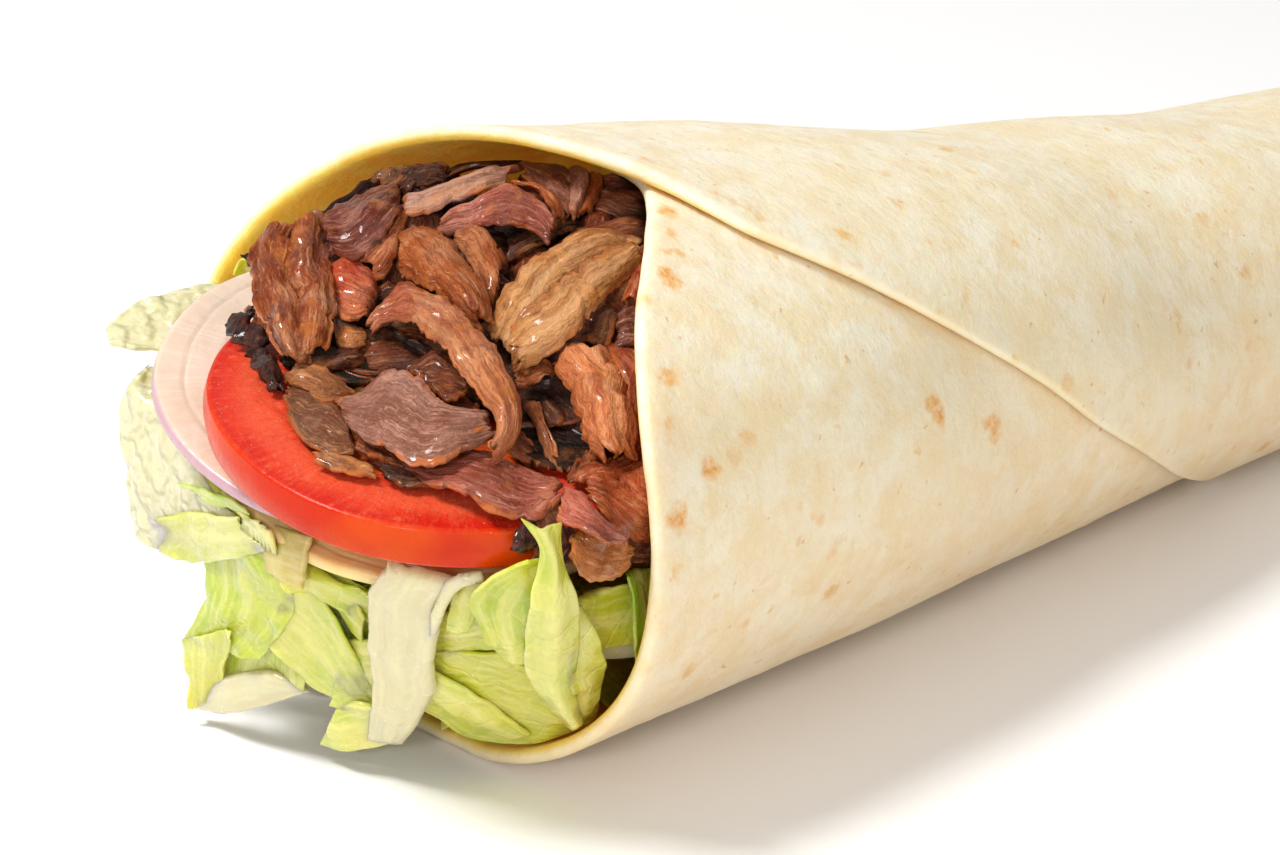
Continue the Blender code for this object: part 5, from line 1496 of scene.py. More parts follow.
def leaf(heap, tone0, tone1, spec, edge_a, edge_b, seed, pitch=0.7):
    """A torn piece of leaf between two given edges: blistered, frilled, ribbed along its length."""
    la = np.linalg.norm(np.diff(curve(edge_a, 40), axis=0), axis=1).sum()
    lb = np.linalg.norm(np.diff(curve(edge_b, 40), axis=0), axis=1).sum()
    length = 0.5 * (la + lb)
    width = np.linalg.norm(curve(edge_a, 40) - curve(edge_b, 40), axis=1).max()
    thick = spec.get("thick", 0.5)
    s = steps(length, pitch, min(0.6, length * 0.15))
    w = steps(width, pitch, min(0.6, width * 0.15))
    dense = 200
    a, b = curve(edge_a, dense), curve(edge_b, dense)
    pick = lambda c, t: np.stack([np.interp(t, np.linspace(0, 1, dense), c[:, k]) for k in range(3)], -1)
    S, W = np.meshgrid(s, w, indexing="ij")
    rng = seed * 5.17
    q = lambda x, k: noise3(np.stack([x.ravel(), 0 * x.ravel() + rng, 0 * x.ravel() + k], 1), 6).reshape(x.shape)
    v_mm, u_mm = W * width, S * length
    torn = spec.get("torn", 0.4)
    edge_noise = lambda x, k: torn * (1.5 * q(x * 0.14, k) + 0.7 * q(x * 0.4, k + 0.4) + 0.22 * q(x * 1.4, k + 0.6))
    SS = S - edge_noise(v_mm, 1.0) / length * (1 - S) + edge_noise(v_mm, 3.0) / length * S
    WW = W - edge_noise(u_mm, 5.0) / width * (1 - W) + edge_noise(u_mm, 7.0) / width * W
    sc = np.clip(SS, 0, 1)
    g = pick(a, sc) * (1 - WW[..., None]) + pick(b, sc) * WW[..., None]
    span = 0.5 * (a[-1] - a[0] + b[-1] - b[0])
    g = g + (SS - sc)[..., None] * span
    nrm = normals(g)
    view = np.array([-0.63, -0.68, 0.37])
    flip = (nrm.reshape(-1, 3) @ view).mean() < 0
    if flip:
        nrm = -nrm
    mean_n = nrm.reshape(-1, 3).mean(0)
    mean_n /= np.linalg.norm(mean_n)
    flat = g.reshape(-1, 3)
    bubble, frill = spec.get("bubble", 0.5), spec.get("frill", 0.5)
    veins = np.sqrt(noise3(flat * 0.12 + rng, 71) ** 2 + 0.004) + 0.3 * np.sqrt(noise3(flat * 0.27 + rng, 72) ** 2 + 0.004)
    puff = bubble * (1.7 * np.clip(veins, 0, 0.6) - 0.4 + 1.1 * noise3(flat * 0.08 + rng, 73) + 0.22 * noise3(flat * 0.3 + rng, 77))
    ea = np.minimum(np.minimum(u_mm, length - u_mm), np.minimum(v_mm, width - v_mm))
    outer = np.exp(-ea / 2.2)
    wave = frill * outer.ravel() * 1.8 * noise3(flat * 0.30 + rng, 74)
    fold = spec.get("fold", 0.0) * (np.abs(W - 0.45 - 0.1 * q(u_mm * 0.06, 12.0)) * 2 - 0.5).ravel()
    rib = 0.28 * np.exp(-((W - 0.5 - 0.16 * q(u_mm * 0.05, 13.0)) * width / 0.9) ** 2).ravel()
    g = g + mean_n * (puff + wave - fold * 1.0).reshape(S.shape)[..., None]
    lost = np.zeros(S.size, bool)
    if spec.get("front") != 1:
        discs = (ONION_UPPER, TOMATO) if spec.get("front") == 2 else (ONION_UPPER, TOMATO, ONION_LOWER)
        moved = tuck_behind(g.reshape(-1, 3), discs)
        lost = np.linalg.norm(moved - g.reshape(-1, 3), axis=1) > 7.0
        g = moved.reshape(g.shape)
    g = keep_out_of_slices(g)
    nrm = normals(g)
    if flip:
        nrm = -nrm
    t = thick * (0.85 + 0.3 * noise3(flat * 0.15 + rng + 2, 75)) + rib * min(1.0, thick)
    t = t.reshape(S.shape)
    verts, faces, inner, e = lens(g, nrm, t, 0.5 * thick, length, width, s, w)
    faces = tear(faces, lost.reshape(S.shape), inner)
    if len(faces) == 0:
        return
    if flip:
        faces = faces[:, ::-1]
    c0, c1 = np.array(srgb(*GREENS[tone0])), np.array(srgb(*GREENS[tone1]))
    mixf = np.clip(smooth(0.15, 0.85, S) + 0.35 * noise3(flat * 0.12 + rng, 76).reshape(S.shape), 0, 1)
    col = c0 * (1 - mixf[..., None]) + c1 * mixf[..., None]
    tint = np.concatenate([col.reshape(-1, 3), col[inner]])
    uv = np.stack([both(u_mm, inner), both(v_mm - 0.5 * width, inner)], 1)
    heap.add(verts, faces, uv, tint=tint, edge=both(np.clip(1 - ea / 1.0, 0, 1), inner),
             vein=both(np.clip(1 - veins.reshape(S.shape) * 5.0, 0, 1), inner),
             white=np.full(len(verts), 1.0 if tone0 in ("cream", "wet") else 0.0),
             wet=np.full(len(verts), 1.0 if tone0 == "wet" else 0.0),
             # deep: painted shade on leaves far inside the roll and low down
             deep=smooth(3.0, 18.0, verts[:, 0]) * smooth(40.0, 25.0, verts[:, 2]),
             ribline=both(rib.reshape(S.shape) / 0.28, inner))


def lettuce_material():
    m = Nodes("lettuce")
    p = m.coords()
    uv = m.tree.nodes.new("ShaderNodeUVMap").outputs[0]
    tint = m.attr("tint", "Color")
    vein, edge, rib, white = m.attr("vein"), m.attr("edge"), m.attr("ribline"), m.attr("white")
    warp = m.vmath('SCALE', m.vmath('SUBTRACT', m.noise(p, 0.3, 2.0, out="Color"), (0.5, 0.5, 0.5)), scale=3.0)
    pw = m.vmath('ADD', p, warp)
    cloud = m.noise(pw, 0.11, 4.0, 0.6)
    fine = m.noise(p, 1.1, 4.0, 0.65)
    along = m.noise(m.vmath('ADD', m.vmath('MULTIPLY', uv, (0.09, 0.9, 1.0)), m.vmath('SCALE', warp, scale=0.3)), 1.0, 4.0, 0.6)
    deep = m.mix(1.0, tint, m.mix(white, (0.66, 0.82, 0.34), (0.97, 0.96, 0.88)), 'MULTIPLY')
    light = m.mix(0.5, tint, srgb(254, 252, 212))
    colour = m.mix(m.span(cloud, 0.34, 0.66), deep, tint)
    colour = m.mix(m.math('MULTIPLY', m.span(along, 0.42, 0.66), 0.6), colour, light)
    # a net of pale veins, fine ones between
    net = m.voronoi(pw, 0.22, 'DISTANCE_TO_EDGE')
    lines = m.span(net.outputs["Distance"], 0.0, 0.09, 1.0, 0.0)
    net2 = m.voronoi(pw, 0.7, 'DISTANCE_TO_EDGE')
    lines2 = m.span(net2.outputs["Distance"], 0.0, 0.10, 1.0, 0.0)
    keep = m.math('SUBTRACT', 1.0, m.math('MULTIPLY', white, 0.8))
    colour = m.mix(m.math('MULTIPLY', m.math('MULTIPLY', lines, 0.16), keep), colour, srgb(234, 236, 170))
    colour = m.mix(m.math('MULTIPLY', m.math('MULTIPLY', lines2, 0.07), keep), colour, srgb(232, 234, 160))
    colour = m.mix(m.math('MULTIPLY', vein, 0.2), colour, light)
    colour = m.mix(m.math('MULTIPLY', rib, 0.45), colour, srgb(238, 234, 190))
    colour = m.mix(m.math('MULTIPLY', m.span(fine, 0.55, 0.75), 0.14), colour, deep)
    brown = m.math('MULTIPLY', m.math('MULTIPLY', m.span(edge, 0.5, 1.0), m.span(m.noise(p, 0.25, 2.0), 0.55, 0.7)), 0.30)
    colour = m.mix(brown, colour, srgb(208, 190, 116))
    # painted shade on leaves deep inside the roll
    shade = m.mix(1.0, colour, (0.34, 0.30, 0.16), 'MULTIPLY')
    colour = m.mix(m.math('MULTIPLY', m.attr("deep"), 0.9), colour, shade)
    colour = m.mix(1.0, colour, m.mix(white, (0.91, 0.85, 0.50), (0.78, 0.76, 0.72)), 'MULTIPLY')
    m.put(m.shader.inputs["Base Color"], colour)
    m.put(m.shader.inputs["Roughness"], m.span(m.noise(p, 0.22, 3.0, 0.6), 0.38, 0.62, 0.12, 0.30))
    m.shader.inputs["Specular IOR Level"].default_value = 0.5
    m.shader.inputs["Subsurface Weight"].default_value = 0.5
    m.shader.inputs["Subsurface Radius"].default_value = (1.0, 1.0, 0.25)
    m.shader.inputs["Subsurface Scale"].default_value = 0.003
    m.shader.inputs["Coat Weight"].default_value = 0.5
    m.shader.inputs["Coat Roughness"].default_value = 0.1
    h = m.math('ADD', m.math('MULTIPLY', m.math('MULTIPLY', lines, keep), -0.22), m.math('MULTIPLY', fine, 0.2))
    h = m.math('ADD', h, m.math('MULTIPLY', along, 0.3))
    h = m.math('ADD', h, m.math('MULTIPLY', m.noise(pw, 0.35, 3.0), 0.6))
    blister = m.math('MULTIPLY', m.span(m.noise(p, 0.45, 1.0, 0.4), 0.36, 0.66), m.attr("wet"))
    h = m.math('ADD', h, m.math('MULTIPLY', blister, 2.0))
    m.put(m.shader.inputs["Normal"], m.bump(h, 0.0005, 0.6))
    return m.mat


# each leaf: tone at one end and the other, form, and its two long edges in mm
LEAVES = [
    ("wet", "wet", dict(thick=0.9, bubble=0.5, frill=0.6, torn=0.4, front=1),
     [(2.0, 35.9, 49.0), (-1.3, 37.9, 49.3), (-4.8, 38.9, 49.3), (-8.9, 38.9, 49.2), (-12.5, 38.7, 48.8), (-17.2, 37.2, 47.8)],
     [(-3.8, 28.7, 46.2), (-8.3, 29.0, 45.9), (-12.8, 29.9, 45.8), (-14.5, 31.1, 46.0), (-17.0, 31.9, 46.2), (-18.6, 34.4, 46.8)]),
    ("wet", "wet", dict(thick=0.9, bubble=0.9, frill=0.6, torn=0.5),
     [(-19.8, 21.2, 50.5), (-21.8, 28.0, 43.0), (-21.9, 29.1, 39.0), (-21.6, 28.4, 33.0), (-20.6, 28.6, 25.6), (-20.3, 25.5, 23.5), (-19.7, 18.0, 23.0)],
     [(-19.2, 12.8, 49.4), (-20.5, 14.5, 42.8), (-21.5, 12.4, 39.2), (-22.4, 8.5, 36.7), (-22.4, 6.3, 34.1), (-22.4, 2.9, 32.3), (-22.4, -1.7, 31.7)]),
    ("yg", "yg", dict(thick=0.5, bubble=0.5, frill=0.4, torn=0.4, front=2),
     [(-20.9, 22.1, 40.7), (-21.1, 17.5, 37.6), (-21.5, 12.0, 36.1), (-22.1, 5.1, 36.1)],
     [(-19.8, 22.0, 26.6), (-20.2, 15.8, 27.4), (-21.4, 8.5, 31.1), (-22.2, -0.3, 34.8)]),
    ("bright", "bright", dict(thick=0.4, bubble=0.3, frill=0.8, torn=0.9, front=2),
     [(-22.9, 15.2, 35.2), (-23.3, 10.3, 36.0), (-23.8, 5.2, 36.7), (-23.4, 1.1, 36.3)],
     [(-22.9, 13.4, 34.5), (-23.3, 9.0, 34.5), (-23.7, 4.6, 34.7), (-23.4, 0.6, 35.2)]),
    ("pale", "wet", dict(thick=0.6, bubble=0.5, frill=0.4, torn=0.3, front=2),
     [(-21.5, 24.5, 27.5), (-22.4, 15.1, 31.2), (-23.6, 5.2, 34.0), (-23.5, -2.8, 35.9)],
     [(-20.7, 23.4, 22.7), (-21.1, 15.2, 24.1), (-22.8, 5.0, 28.4), (-23.0, -3.1, 32.3)]),
    ("green", "green", dict(thick=0.5, bubble=1.1, frill=0.6, torn=0.4, front=2),
     [(-20.8, 14.6, 25.0), (-20.9, 14.7, 20.5), (-20.8, 16.4, 16.2), (-20.2, 20.3, 11.6)],
     [(-22.4, -1.2, 31.5), (-21.6, -3.6, 27.3), (-20.5, -1.7, 21.7), (-19.3, 5.4, 14.0)]),
    ("pale", "yg", dict(thick=0.5, bubble=0.7, frill=0.8, torn=1.0),
     [(-20.2, 20.5, 11.7), (-20.3, 19.4, 8.2), (-18.7, 20.7, 2.6)],
     [(-21.5, 7.5, 18.2), (-19.8, 11.9, 11.4), (-18.4, 15.8, 4.5)]),
    ("green", "cream", dict(thick=0.6, bubble=0.7, frill=0.5, torn=0.4),
     [(-18.8, 13.3, 13.6), (-18.5, 16.7, 9.0), (-18.3, 18.7, 4.9), (-17.9, 21.0, 1.7)],
     [(-17.3, 0.5, 17.4), (-16.9, 0.0, 14.8), (-16.9, -0.4, 12.8), (-16.3, 0.4, 10.5)]),
    ("cream", "cream", dict(thick=1.6, bubble=0.4, frill=0.2, torn=0.3),
     [(-18.4, 19.4, 4.6), (-18.7, 11.8, 9.5), (-18.5, 4.6, 12.2), (-16.6, 0.4, 11.1)],
     [(-18.5, 20.2, 2.0), (-17.6, 15.3, 2.7), (-17.5, 7.6, 6.5), (-16.9, -0.5, 10.7)]),
    ("pale", "pale", dict(thick=0.7, bubble=0.6, frill=0.4, torn=0.3),
     [(-22.2, -3.4, 28.7), (-19.8, -7.2, 26.6), (-17.8, -9.4, 21.5), (-13.9, -10.0, 12.6)],
     [(-19.4, 3.6, 17.1), (-18.3, 0.9, 13.9), (-16.6, -1.9, 11.1), (-14.8, -4.8, 9.3)]),
    ("pale", "cream", dict(thick=0.8, bubble=0.5, frill=0.3, torn=0.4),
     [(-17.0, -7.9, 20.1), (-16.8, -10.4, 21.1), (-16.1, -13.4, 21.6)],
     [(-15.7, -3.0, 9.4), (-14.6, -5.8, 9.6), (-12.9, -10.1, 11.0)]),
    ("dark", "green", dict(thick=0.5, bubble=0.6, frill=0.4, torn=0.4),
     [(-19.4, -2.7, 28.0), (-18.7, -7.9, 29.7), (-17.4, -12.4, 28.8), (-15.5, -12.7, 25.1)],
     [(-17.0, -2.8, 21.7), (-15.8, -5.1, 20.4), (-14.7, -7.1, 18.9), (-13.7, -10.0, 18.5)]),
    ("yg", "green", dict(thick=0.5, bubble=0.5, frill=0.7, torn=0.6),
     [(-21.8, -2.0, 28.7), (-21.3, -7.3, 30.8), (-19.7, -11.6, 29.6), (-17.7, -14.1, 27.8)],
     [(-21.4, -3.6, 26.8), (-20.1, -6.8, 26.6), (-18.4, -9.9, 25.1), (-16.7, -12.7, 23.9)]),
    ("green", "yg", dict(thick=0.5, bubble=0.4, frill=0.7, torn=0.5),
     [(-19.2, -10.7, 27.1), (-18.6, -12.4, 26.5), (-17.7, -12.8, 24.8)],
     [(-18.4, -8.4, 24.4), (-17.4, -9.4, 22.3), (-16.7, -11.0, 21.3)]),
    ("cream", "cream", dict(thick=2.6, bubble=0.6, frill=0.2, torn=0.5, front=2),
     [(-21.5, -21.3, 35.8), (-20.8, -17.4, 30.8), (-18.4, -13.8, 22.5), (-15.7, -11.3, 14.3), (-12.8, -6.3, 5.2)],
     [(-18.4, -29.0, 35.8), (-16.8, -24.9, 28.9), (-14.3, -21.5, 21.2), (-11.3, -16.6, 13.1), (-9.7, -9.7, 5.2)]),
    ("pale", "cream", dict(thick=1.1, bubble=0.6, frill=0.3, torn=0.3),
     [(-15.3, -4.1, 9.6), (-15.3, -7.9, 11.5), (-13.8, -10.2, 11.2), (-12.1, -11.9, 10.4)],
     [(-13.9, 1.2, 2.4), (-13.1, -2.7, 2.8), (-11.9, -6.6, 4.2), (-9.9, -9.6, 5.4)]),
    ("cream", "cream", dict(thick=1.4, bubble=0.3, frill=0.2, torn=0.3, front=2),
     [(-17.3, -33.3, 37.1), (-18.8, -29.8, 35.8), (-18.6, -26.7, 31.9), (-16.6, -22.6, 25.6)],
     [(-16.7, -32.9, 35.6), (-17.7, -30.3, 34.3), (-17.6, -27.5, 31.0), (-16.3, -24.2, 26.3)]),
    ("yg", "green", dict(thick=0.5, bubble=0.5, frill=0.5, torn=0.5, front=2),
     [(-16.9, -28.1, 33.7), (-16.4, -26.5, 30.5), (-14.9, -24.3, 26.4)],
     [(-16.1, -32.5, 35.5), (-15.2, -30.5, 31.5), (-13.8, -27.0, 26.7)]),
    ("yg", "green", dict(thick=0.5, bubble=0.6, frill=0.5, torn=0.3, front=2),
     [(-14.6, -21.9, 27.6), (-13.6, -25.9, 27.8), (-12.4, -30.8, 29.5), (-11.0, -36.2, 32.7)],
     [(-11.0, -17.1, 19.3), (-10.4, -22.7, 21.7), (-9.0, -27.7, 23.2), (-7.4, -33.0, 25.5)]),
    ("green", "yg", dict(thick=0.6, bubble=0.8, frill=0.5, torn=0.5, front=1),
     [(-14.8, -38.8, 40.1), (-17.2, -35.0, 36.9), (-17.4, -31.2, 33.2), (-14.3, -30.4, 27.7), (-10.7, -29.3, 22.7)],
     [(-10.4, -39.0, 38.9), (-11.9, -38.6, 35.0), (-11.8, -37.5, 31.5), (-10.5, -35.2, 27.1), (-9.3, -32.4, 22.8)]),
    ("pale", "pale", dict(thick=0.6, bubble=0.5, frill=0.3, torn=0.2, fold=1.6, front=1),
     [(-18.2, -41.3, 46.2), (-16.1, -42.2, 41.6), (-15.2, -39.4, 34.4), (-10.1, -32.9, 22.2), (-5.2, -31.1, 15.3), (0.2, -29.0, 9.9)],
     [(-12.6, -42.0, 44.0), (-12.0, -41.7, 38.9), (-9.3, -41.0, 33.1), (-6.1, -37.9, 25.0), (-4.1, -34.7, 18.4), (0.6, -30.7, 11.5)]),
    ("pale", "yg", dict(thick=0.5, bubble=0.6, frill=0.6, torn=0.4),
     [(-9.8, -38.2, 31.7), (-7.5, -36.7, 25.4), (-4.4, -33.9, 18.4), (0.6, -29.5, 10.8)],
     [(-5.4, -37.5, 30.6), (-1.4, -36.1, 23.6), (1.7, -33.1, 16.2), (2.4, -30.0, 11.2)]),
    ("yg", "yg", dict(thick=0.5, bubble=0.5, frill=0.3, torn=0.3),
     [(-8.6, -37.0, 33.5), (-1.9, -36.4, 31.5), (5.4, -36.3, 30.3)],
     [(-4.2, -34.7, 24.4), (0.4, -34.8, 22.6), (6.4, -36.1, 22.2)]),
    ("cream", "wet", dict(thick=1.4, bubble=0.3, frill=0.2, torn=0.3),
     [(-2.9, -33.2, 24.8), (2.4, -33.5, 23.1), (8.2, -34.2, 22.1)],
     [(-1.1, -32.1, 21.3), (3.8, -32.3, 19.4), (8.6, -33.4, 18.7)]),
    ("bright", "bright", dict(thick=0.5, bubble=0.3, frill=0.3, torn=0.2),
     [(0.6, -37.9, 33.8), (2.0, -37.9, 29.3), (2.5, -37.6, 23.9), (6.0, -34.5, 16.6)],
     [(6.4, -36.8, 31.7), (6.9, -36.6, 28.1), (6.9, -36.5, 23.5), (7.6, -34.2, 17.1)]),
    ("yg", "yg", dict(thick=0.6, bubble=0.5, frill=0.3, torn=0.3),
     [(-12.7, -16.6, 20.3), (-10.7, -22.5, 22.0), (-8.3, -27.7, 22.0), (-3.1, -30.7, 18.2), (4.8, -29.1, 12.5)],
     [(-9.3, -13.1, 10.5), (-4.4, -14.4, 6.0), (-0.7, -18.2, 4.9), (2.7, -23.4, 5.6), (6.6, -25.4, 5.9)]),
    ("pale", "yg", dict(thick=0.8, bubble=0.5, frill=0.3, torn=0.3),
     [(-12.0, -17.9, 18.2), (-8.1, -20.2, 14.9), (-4.0, -21.9, 10.9), (-0.7, -22.6, 7.4)],
     [(-10.5, -15.3, 14.0), (-7.4, -16.6, 10.5), (-3.7, -18.4, 7.3), (-1.8, -20.3, 6.1)]),
    ("yg", "dark", dict(thick=0.5, bubble=0.6, frill=0.3, torn=0.3),
     [(-9.9, -17.0, 20.9), (-6.7, -24.2, 22.3), (-1.7, -29.3, 21.2)],
     [(-5.7, -11.8, 9.9), (0.1, -16.2, 6.9), (4.2, -22.6, 7.8)]),
    ("green", "dark", dict(thick=0.5, bubble=0.6, frill=0.3, torn=0.3),
     [(-18.5, 10.2, 25.9), (-17.6, -4.2, 29.5), (-14.7, -15.5, 30.3)],
     [(-16.3, 15.6, 12.1), (-13.9, 2.8, 14.3), (-10.2, -7.9, 15.4)]),
    ("yg", "dark", dict(thick=0.5, bubble=0.6, frill=0.3, torn=0.3),
     [(-14.7, -21.1, 32.1), (-10.4, -28.5, 32.5), (-0.7, -31.7, 30.0)],
     [(-10.4, -15.7, 20.6), (-5.6, -23.0, 20.9), (3.0, -29.3, 19.7)]),
    ("lime", "yg", dict(thick=0.5, bubble=0.4, frill=0.5, torn=0.6, front=1),
     [(4.0, 42.0, 50.4), (4.0, 39.0, 51.4), (5.0, 36.4, 51.8)],
     [(6.5, 42.4, 47.0), (6.5, 39.6, 47.4), (7.5, 37.0, 47.8)]),
]


def random_leaves(heap, rand, count, region, depth, tones, seed0):
    """Leaves packed behind and below the placed ones."""
    placed = []
    tries = 0
    while len(placed) < count and tries < 4000:
        tries += 1
        y, z = rand.uniform(*region[0]), rand.uniform(*region[1])
        x = rand.uniform(*depth)
        n = slice_frame(ONION_LOWER)[0]
        top = (np.array([x, y, z]) - np.array(ONION_LOWER["centre"])) @ n
        if top > -ONION_LOWER["thick"] - 2.5:
            continue
        a, b, zc = (float(v) for v in half_axes(max(x, 0.0)))
        if (abs(y) / (a - 5)) ** POWER + (abs(z - zc) / (b - 5)) ** POWER > 1 or z < 5:
            continue
        if any((y - q[1]) ** 2 + (z - q[2]) ** 2 + (x - q[0]) ** 2 < 4.5 ** 2 for q in placed):
            continue
        placed.append((x, y, z))
        k = len(placed)
        normal = np.array([-0.75, -0.45, 0.45]) + rand.normal(0, 0.45, 3)
        normal /= np.linalg.norm(normal)
        t = rand.normal(0, 1, 3)
        t -= normal * (t @ normal)
        t /= np.linalg.norm(t)
        side = np.cross(normal, t)
        length, width = rand.uniform(16, 30), rand.uniform(8, 15)
        bend = rand.uniform(0.5, 5.0)
        c = np.array([x, y, z])
        ea, eb = [], []
        for f in (-1.0, -0.33, 0.33, 1.0):
            p = c + t * f * length / 2 - normal * bend * f * f + side * rand.uniform(-1.5, 1.5)
            hw = width / 2 * (1 - 0.2 * f * f) * rand.uniform(0.8, 1.15)
            ea.append(tuple(p + side * hw))
            eb.append(tuple(p - side * hw))
        q = np.array(ea + eb)
        a, b, zc = half_axes(np.maximum(q[:, 0], 0.0))
        if ((np.abs(q[:, 1]) / (a - 2)) ** POWER + (np.abs(q[:, 2] - zc) / (b - 2)) ** POWER).max() > 1 or q[:, 0].min() < -9:
            placed.pop()
            continue
        spec = dict(thick=rand.uniform(0.4, 0.7), bubble=rand.uniform(0.4, 0.9), frill=rand.uniform(0.4, 0.9), torn=0.6)
        t0, t1 = tones[int(rand.integers(len(tones)))]
        leaf(heap, t0, t1, spec, ea, eb, seed0 + k, pitch=0.95)


def make_lettuce():
    heap = Heap()
    for k, (t0, t1, spec, a, b) in enumerate(LEAVES):
        leaf(heap, t0, t1, spec, a, b, k + 1)
    obj = heap.build("lettuce_leaves", lettuce_material())
    rand = np.random.default_rng(21)
    back = Heap()
    random_leaves(back, rand, 44, ((-36, 30), (4, 34)), (-4, 16), (("yg", "green"), ("green", "dark"), ("pale", "yg"), ("yg", "dark"), ("cream", "pale")), 500)
    print("TRIS leaves", sum(len(f) for f in heap.f) * 2, "behind", sum(len(f) for f in back.f) * 2)
    obj2 = back.build("lettuce_behind", obj.data.materials[0])
    return obj, obj2


lettuce, lettuce_behind = make_lettuce()
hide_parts("lettuce")


# ------------------------------------------------- the inside, out of sight
def core_section(x, clear, lo_z, hi_z, count):
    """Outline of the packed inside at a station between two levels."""
    a, b, zc = (float(v) for v in half_axes(max(x, 0.0)))
    a, b = a - clear, b - clear
    cz = 0.5 * (max(lo_z, zc - b) + min(hi_z, zc + b))
    ang = np.arange(count) * 2 * math.pi / count
    dy, dz = np.sin(ang), np.cos(ang)
    lo_, hi_ = np.zeros(count), np.full(count, 90.0)
    for _ in range(26):
        mid = 0.5 * (lo_ + hi_)
        y, z = mid * dy, cz + mid * dz
        ok = (np.abs(y) / a) ** POWER + (np.abs(z - zc) / b) ** POWER < 1
        ok &= (z > lo_z) & (z < hi_z) & (z > clear)
        lo_, hi_ = np.where(ok, mid, lo_), np.where(ok, hi_, mid)
    return np.stack([np.full(count, x), lo_ * dy, cz + lo_ * dz], 1)


def make_core(name, material, tint, start, level, above, seed, lump):
    """Packed filling from behind the face to the pressed tail."""
    count, rows = 120, 110
    xs = start + (196.0 - start) * np.linspace(0, 1, rows)
    rings = []
    for x in xs:
        _, b, zc = (float(v) for v in half_axes(x))
        mid = 36.0 + (zc - 36.0) * float(smooth(50, 140, x))
        lo_z, hi_z = (mid + 0.4, 200.0) if above else (0.0, mid - 0.4)
        rings.append(core_section(x, 3.4, lo_z, hi_z, count))
    P = np.stack(rings)
    centre = P.mean(1, keepdims=True)
    # round the two ends off
    f = np.linspace(0, 1, rows)
    close = np.sqrt(np.clip(1 - (1 - np.clip(f / 0.035, 0, 1)) ** 2, 0.0004, 1)) * np.sqrt(np.clip(1 - (1 - np.clip((1 - f) / 0.05, 0, 1)) ** 2, 0.0004, 1))
    q = P.reshape(-1, 3)
    n1 = fractal(q * 0.11 + seed, 81, 3).reshape(P.shape[:2])
    n2 = np.abs(noise3(q * np.array([0.1, 0.35, 0.35]) + seed, 82)).reshape(P.shape[:2])
    shrink = 1 - np.clip(lump * (0.10 + 0.10 * n1 + 0.16 * n2), 0.0, 0.4)
    P = centre + (P - centre) * (close[:, None] * shrink)[..., None]
    verts = P.reshape(-1, 3)
    faces = grid_faces(rows, count, wrap_v=True)
    caps = []
    verts = np.vstack([verts, P[0].mean(0)[None], P[-1].mean(0)[None]])
    c0, c1 = rows * count, rows * count + 1
    tri = [[i, c0, (i + 1) % count, (i + 1) % count][::1] for i in range(count)]
    base = (rows - 1) * count
    tri += [[base + (i + 1) % count, c1, base + i, base + i] for i in range(count)]
    uv = np.stack([verts[:, 0], verts[:, 1] + verts[:, 2]], 1)
    # deep is 1 all over: the packed filling is painted in full shade, and its creases darker still
    obj = solid_object(name, verts, faces, tri, material, uv, {"edge": np.zeros(len(verts)), "rim": np.zeros(len(verts)),
                       "char": np.zeros(len(verts)), "groove": np.append(np.clip(n2.ravel() < 0.05, 0, 1), [0, 0]) * 1.0,
                       "gloss": np.full(len(verts), 0.3), "grain": np.zeros(len(verts)), "rosy": np.zeros(len(verts)), "stripe": np.zeros(len(verts)), "deep": np.ones(len(verts)), "vein": np.zeros(len(verts)), "ribline": np.zeros(len(verts)), "wet": np.zeros(len(verts)), "white": np.zeros(len(verts))})
    colour = np.repeat(np.array(srgb(*tint), np.float32)[None], len(verts), 0)
    obj.data.attributes.new("tint", 'FLOAT_VECTOR', 'POINT').data.foreach_set("vector", colour.ravel())
    return obj


make_core("meat_packed", meat.data.materials[0], (104, 48, 28), 34.0, 36.0, True, 3.0, 1.0)
make_core("lettuce_packed", lettuce.data.materials[0], (150, 160, 60), 24.0, 36.0, False, 8.0, 1.0)

# --------------------------------------------------------------- floor, light
def floor_material():
    m = Nodes("floor")
    p = m.coords()
    m.put(m.shader.inputs["Base Color"], m.mix(m.noise(p, 0.002, 2.0), (0.93, 0.93, 0.93), (0.95, 0.95, 0.95)))
    m.shader.inputs["Roughness"].default_value = 0.8
    m.shader.inputs["Specular IOR Level"].default_value = 0.2
    return m.mat


def make_stage():
    size = 3.0
    mesh = bpy.data.meshes.new("floor")
    mesh.from_pydata([(-size, -size, 0), (size, -size, 0), (size, size, 0), (-size, size, 0)], [], [(0, 1, 2, 3)])
    mesh.materials.append(floor_material())
    floor = bpy.data.objects.new("floor", mesh)
    floor.location = (0, 0, -0.0002)
    bpy.context.scene.collection.objects.link(floor)


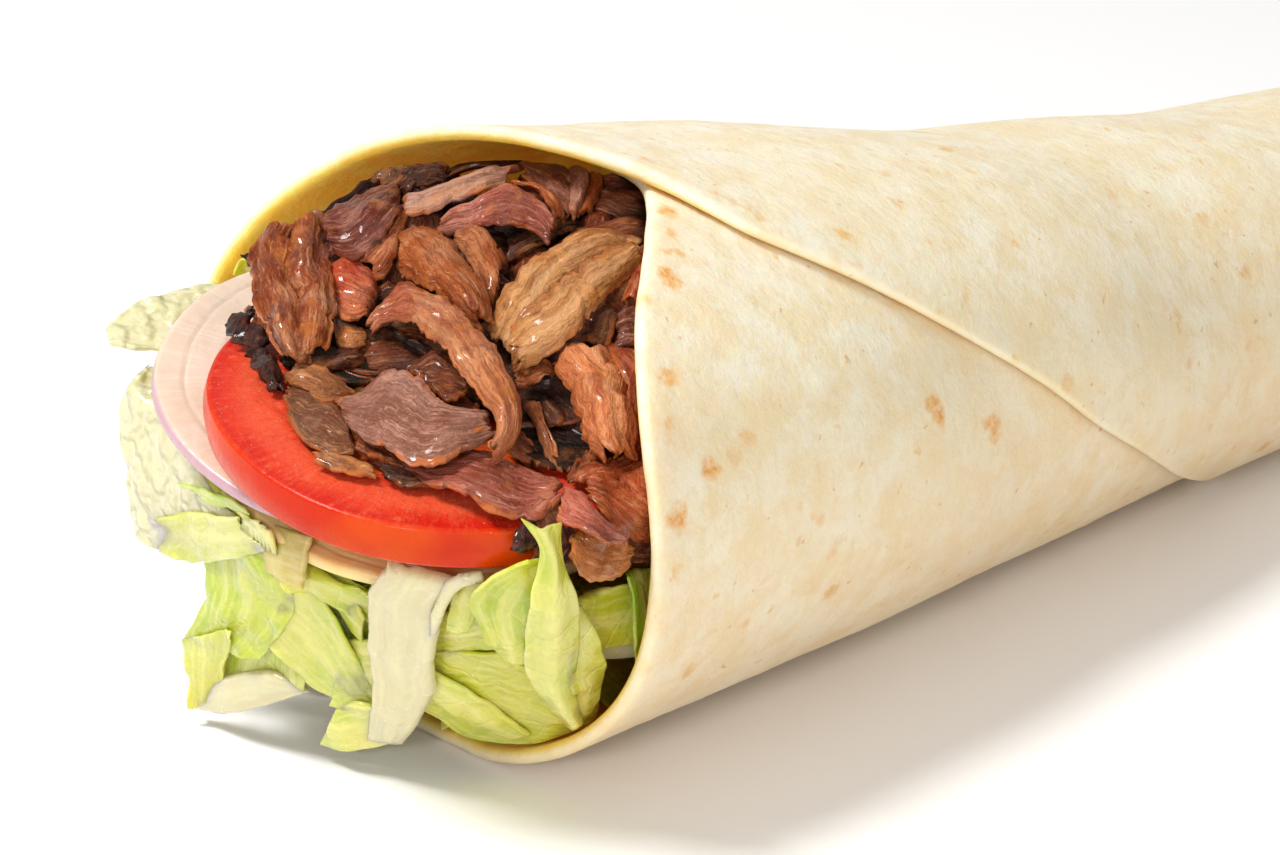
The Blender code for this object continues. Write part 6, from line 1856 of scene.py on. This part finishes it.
def area(name, location, target, size, power, colour=(1, 1, 1)):
    light = bpy.data.lights.new(name, 'AREA')
    light.shape = 'DISK'
    light.size = size
    light.energy = power
    light.color = colour
    obj = bpy.data.objects.new(name, light)
    obj.location = location
    obj.rotation_euler = (Vector(target) - Vector(location)).to_track_quat('-Z', 'Y').to_euler()
    bpy.context.scene.collection.objects.link(obj)


def make_lights():
    area("key", (-0.55, 0.25, 0.95), (0, 0, 0.03), 0.30, 10.3, (1.0, 0.99, 0.975))
    area("mouth", (-0.78, -0.42, 0.36), (-0.06, 0, 0.04), 0.14, 2.1, (1.0, 0.965, 0.90))
    area("fill", (-0.45, -0.9, 0.45), (-0.05, 0, 0.04), 0.8, 1.85, (1.0, 0.945, 0.83))
    world = bpy.data.worlds.new("world")
    bpy.context.scene.world = world
    world.use_nodes = True
    world.node_tree.nodes["Background"].inputs[0].default_value = (1, 1, 1, 1)
    world.node_tree.nodes["Background"].inputs[1].default_value = 0.45


# the camera looks down into the mouth from the near side
CAM_AIM = np.array([38.0, -0.7, 30.5])            # mm, mouth frame
CAM_AZIMUTH, CAM_ELEVATION, CAM_DISTANCE = 43.12, 21.6, 563.3
CAM_LENS = 124.1


def make_camera():
    a, e = math.radians(CAM_AZIMUTH), math.radians(CAM_ELEVATION)
    back = Vector((-math.sin(a) * math.cos(e), -math.cos(a) * math.cos(e), math.sin(e)))
    right = Vector((math.cos(a), -math.sin(a), 0.0))
    up = back.cross(right)
    cam = bpy.data.cameras.new("camera")
    cam.lens = CAM_LENS
    cam.sensor_width = 36.0
    cam.sensor_fit = 'HORIZONTAL'
    cam.clip_start = 0.01
    cam.clip_end = 20.0
    obj = bpy.data.objects.new("camera", cam)
    place = Vector((CAM_AIM * MM + ORIGIN).tolist()) + back * (CAM_DISTANCE * MM)
    turn = Matrix((right, up, back)).transposed().to_4x4()
    obj.matrix_world = Matrix.Translation(place) @ turn
    bpy.context.scene.collection.objects.link(obj)
    bpy.context.scene.camera = obj


make_stage()
make_lights()
make_camera()

scene = bpy.context.scene
scene.view_settings.view_transform = 'Standard'
scene.view_settings.look = 'None'
scene.view_settings.exposure = 0.0
scene.view_settings.gamma = 1.0

bpy.context.view_layer.update()
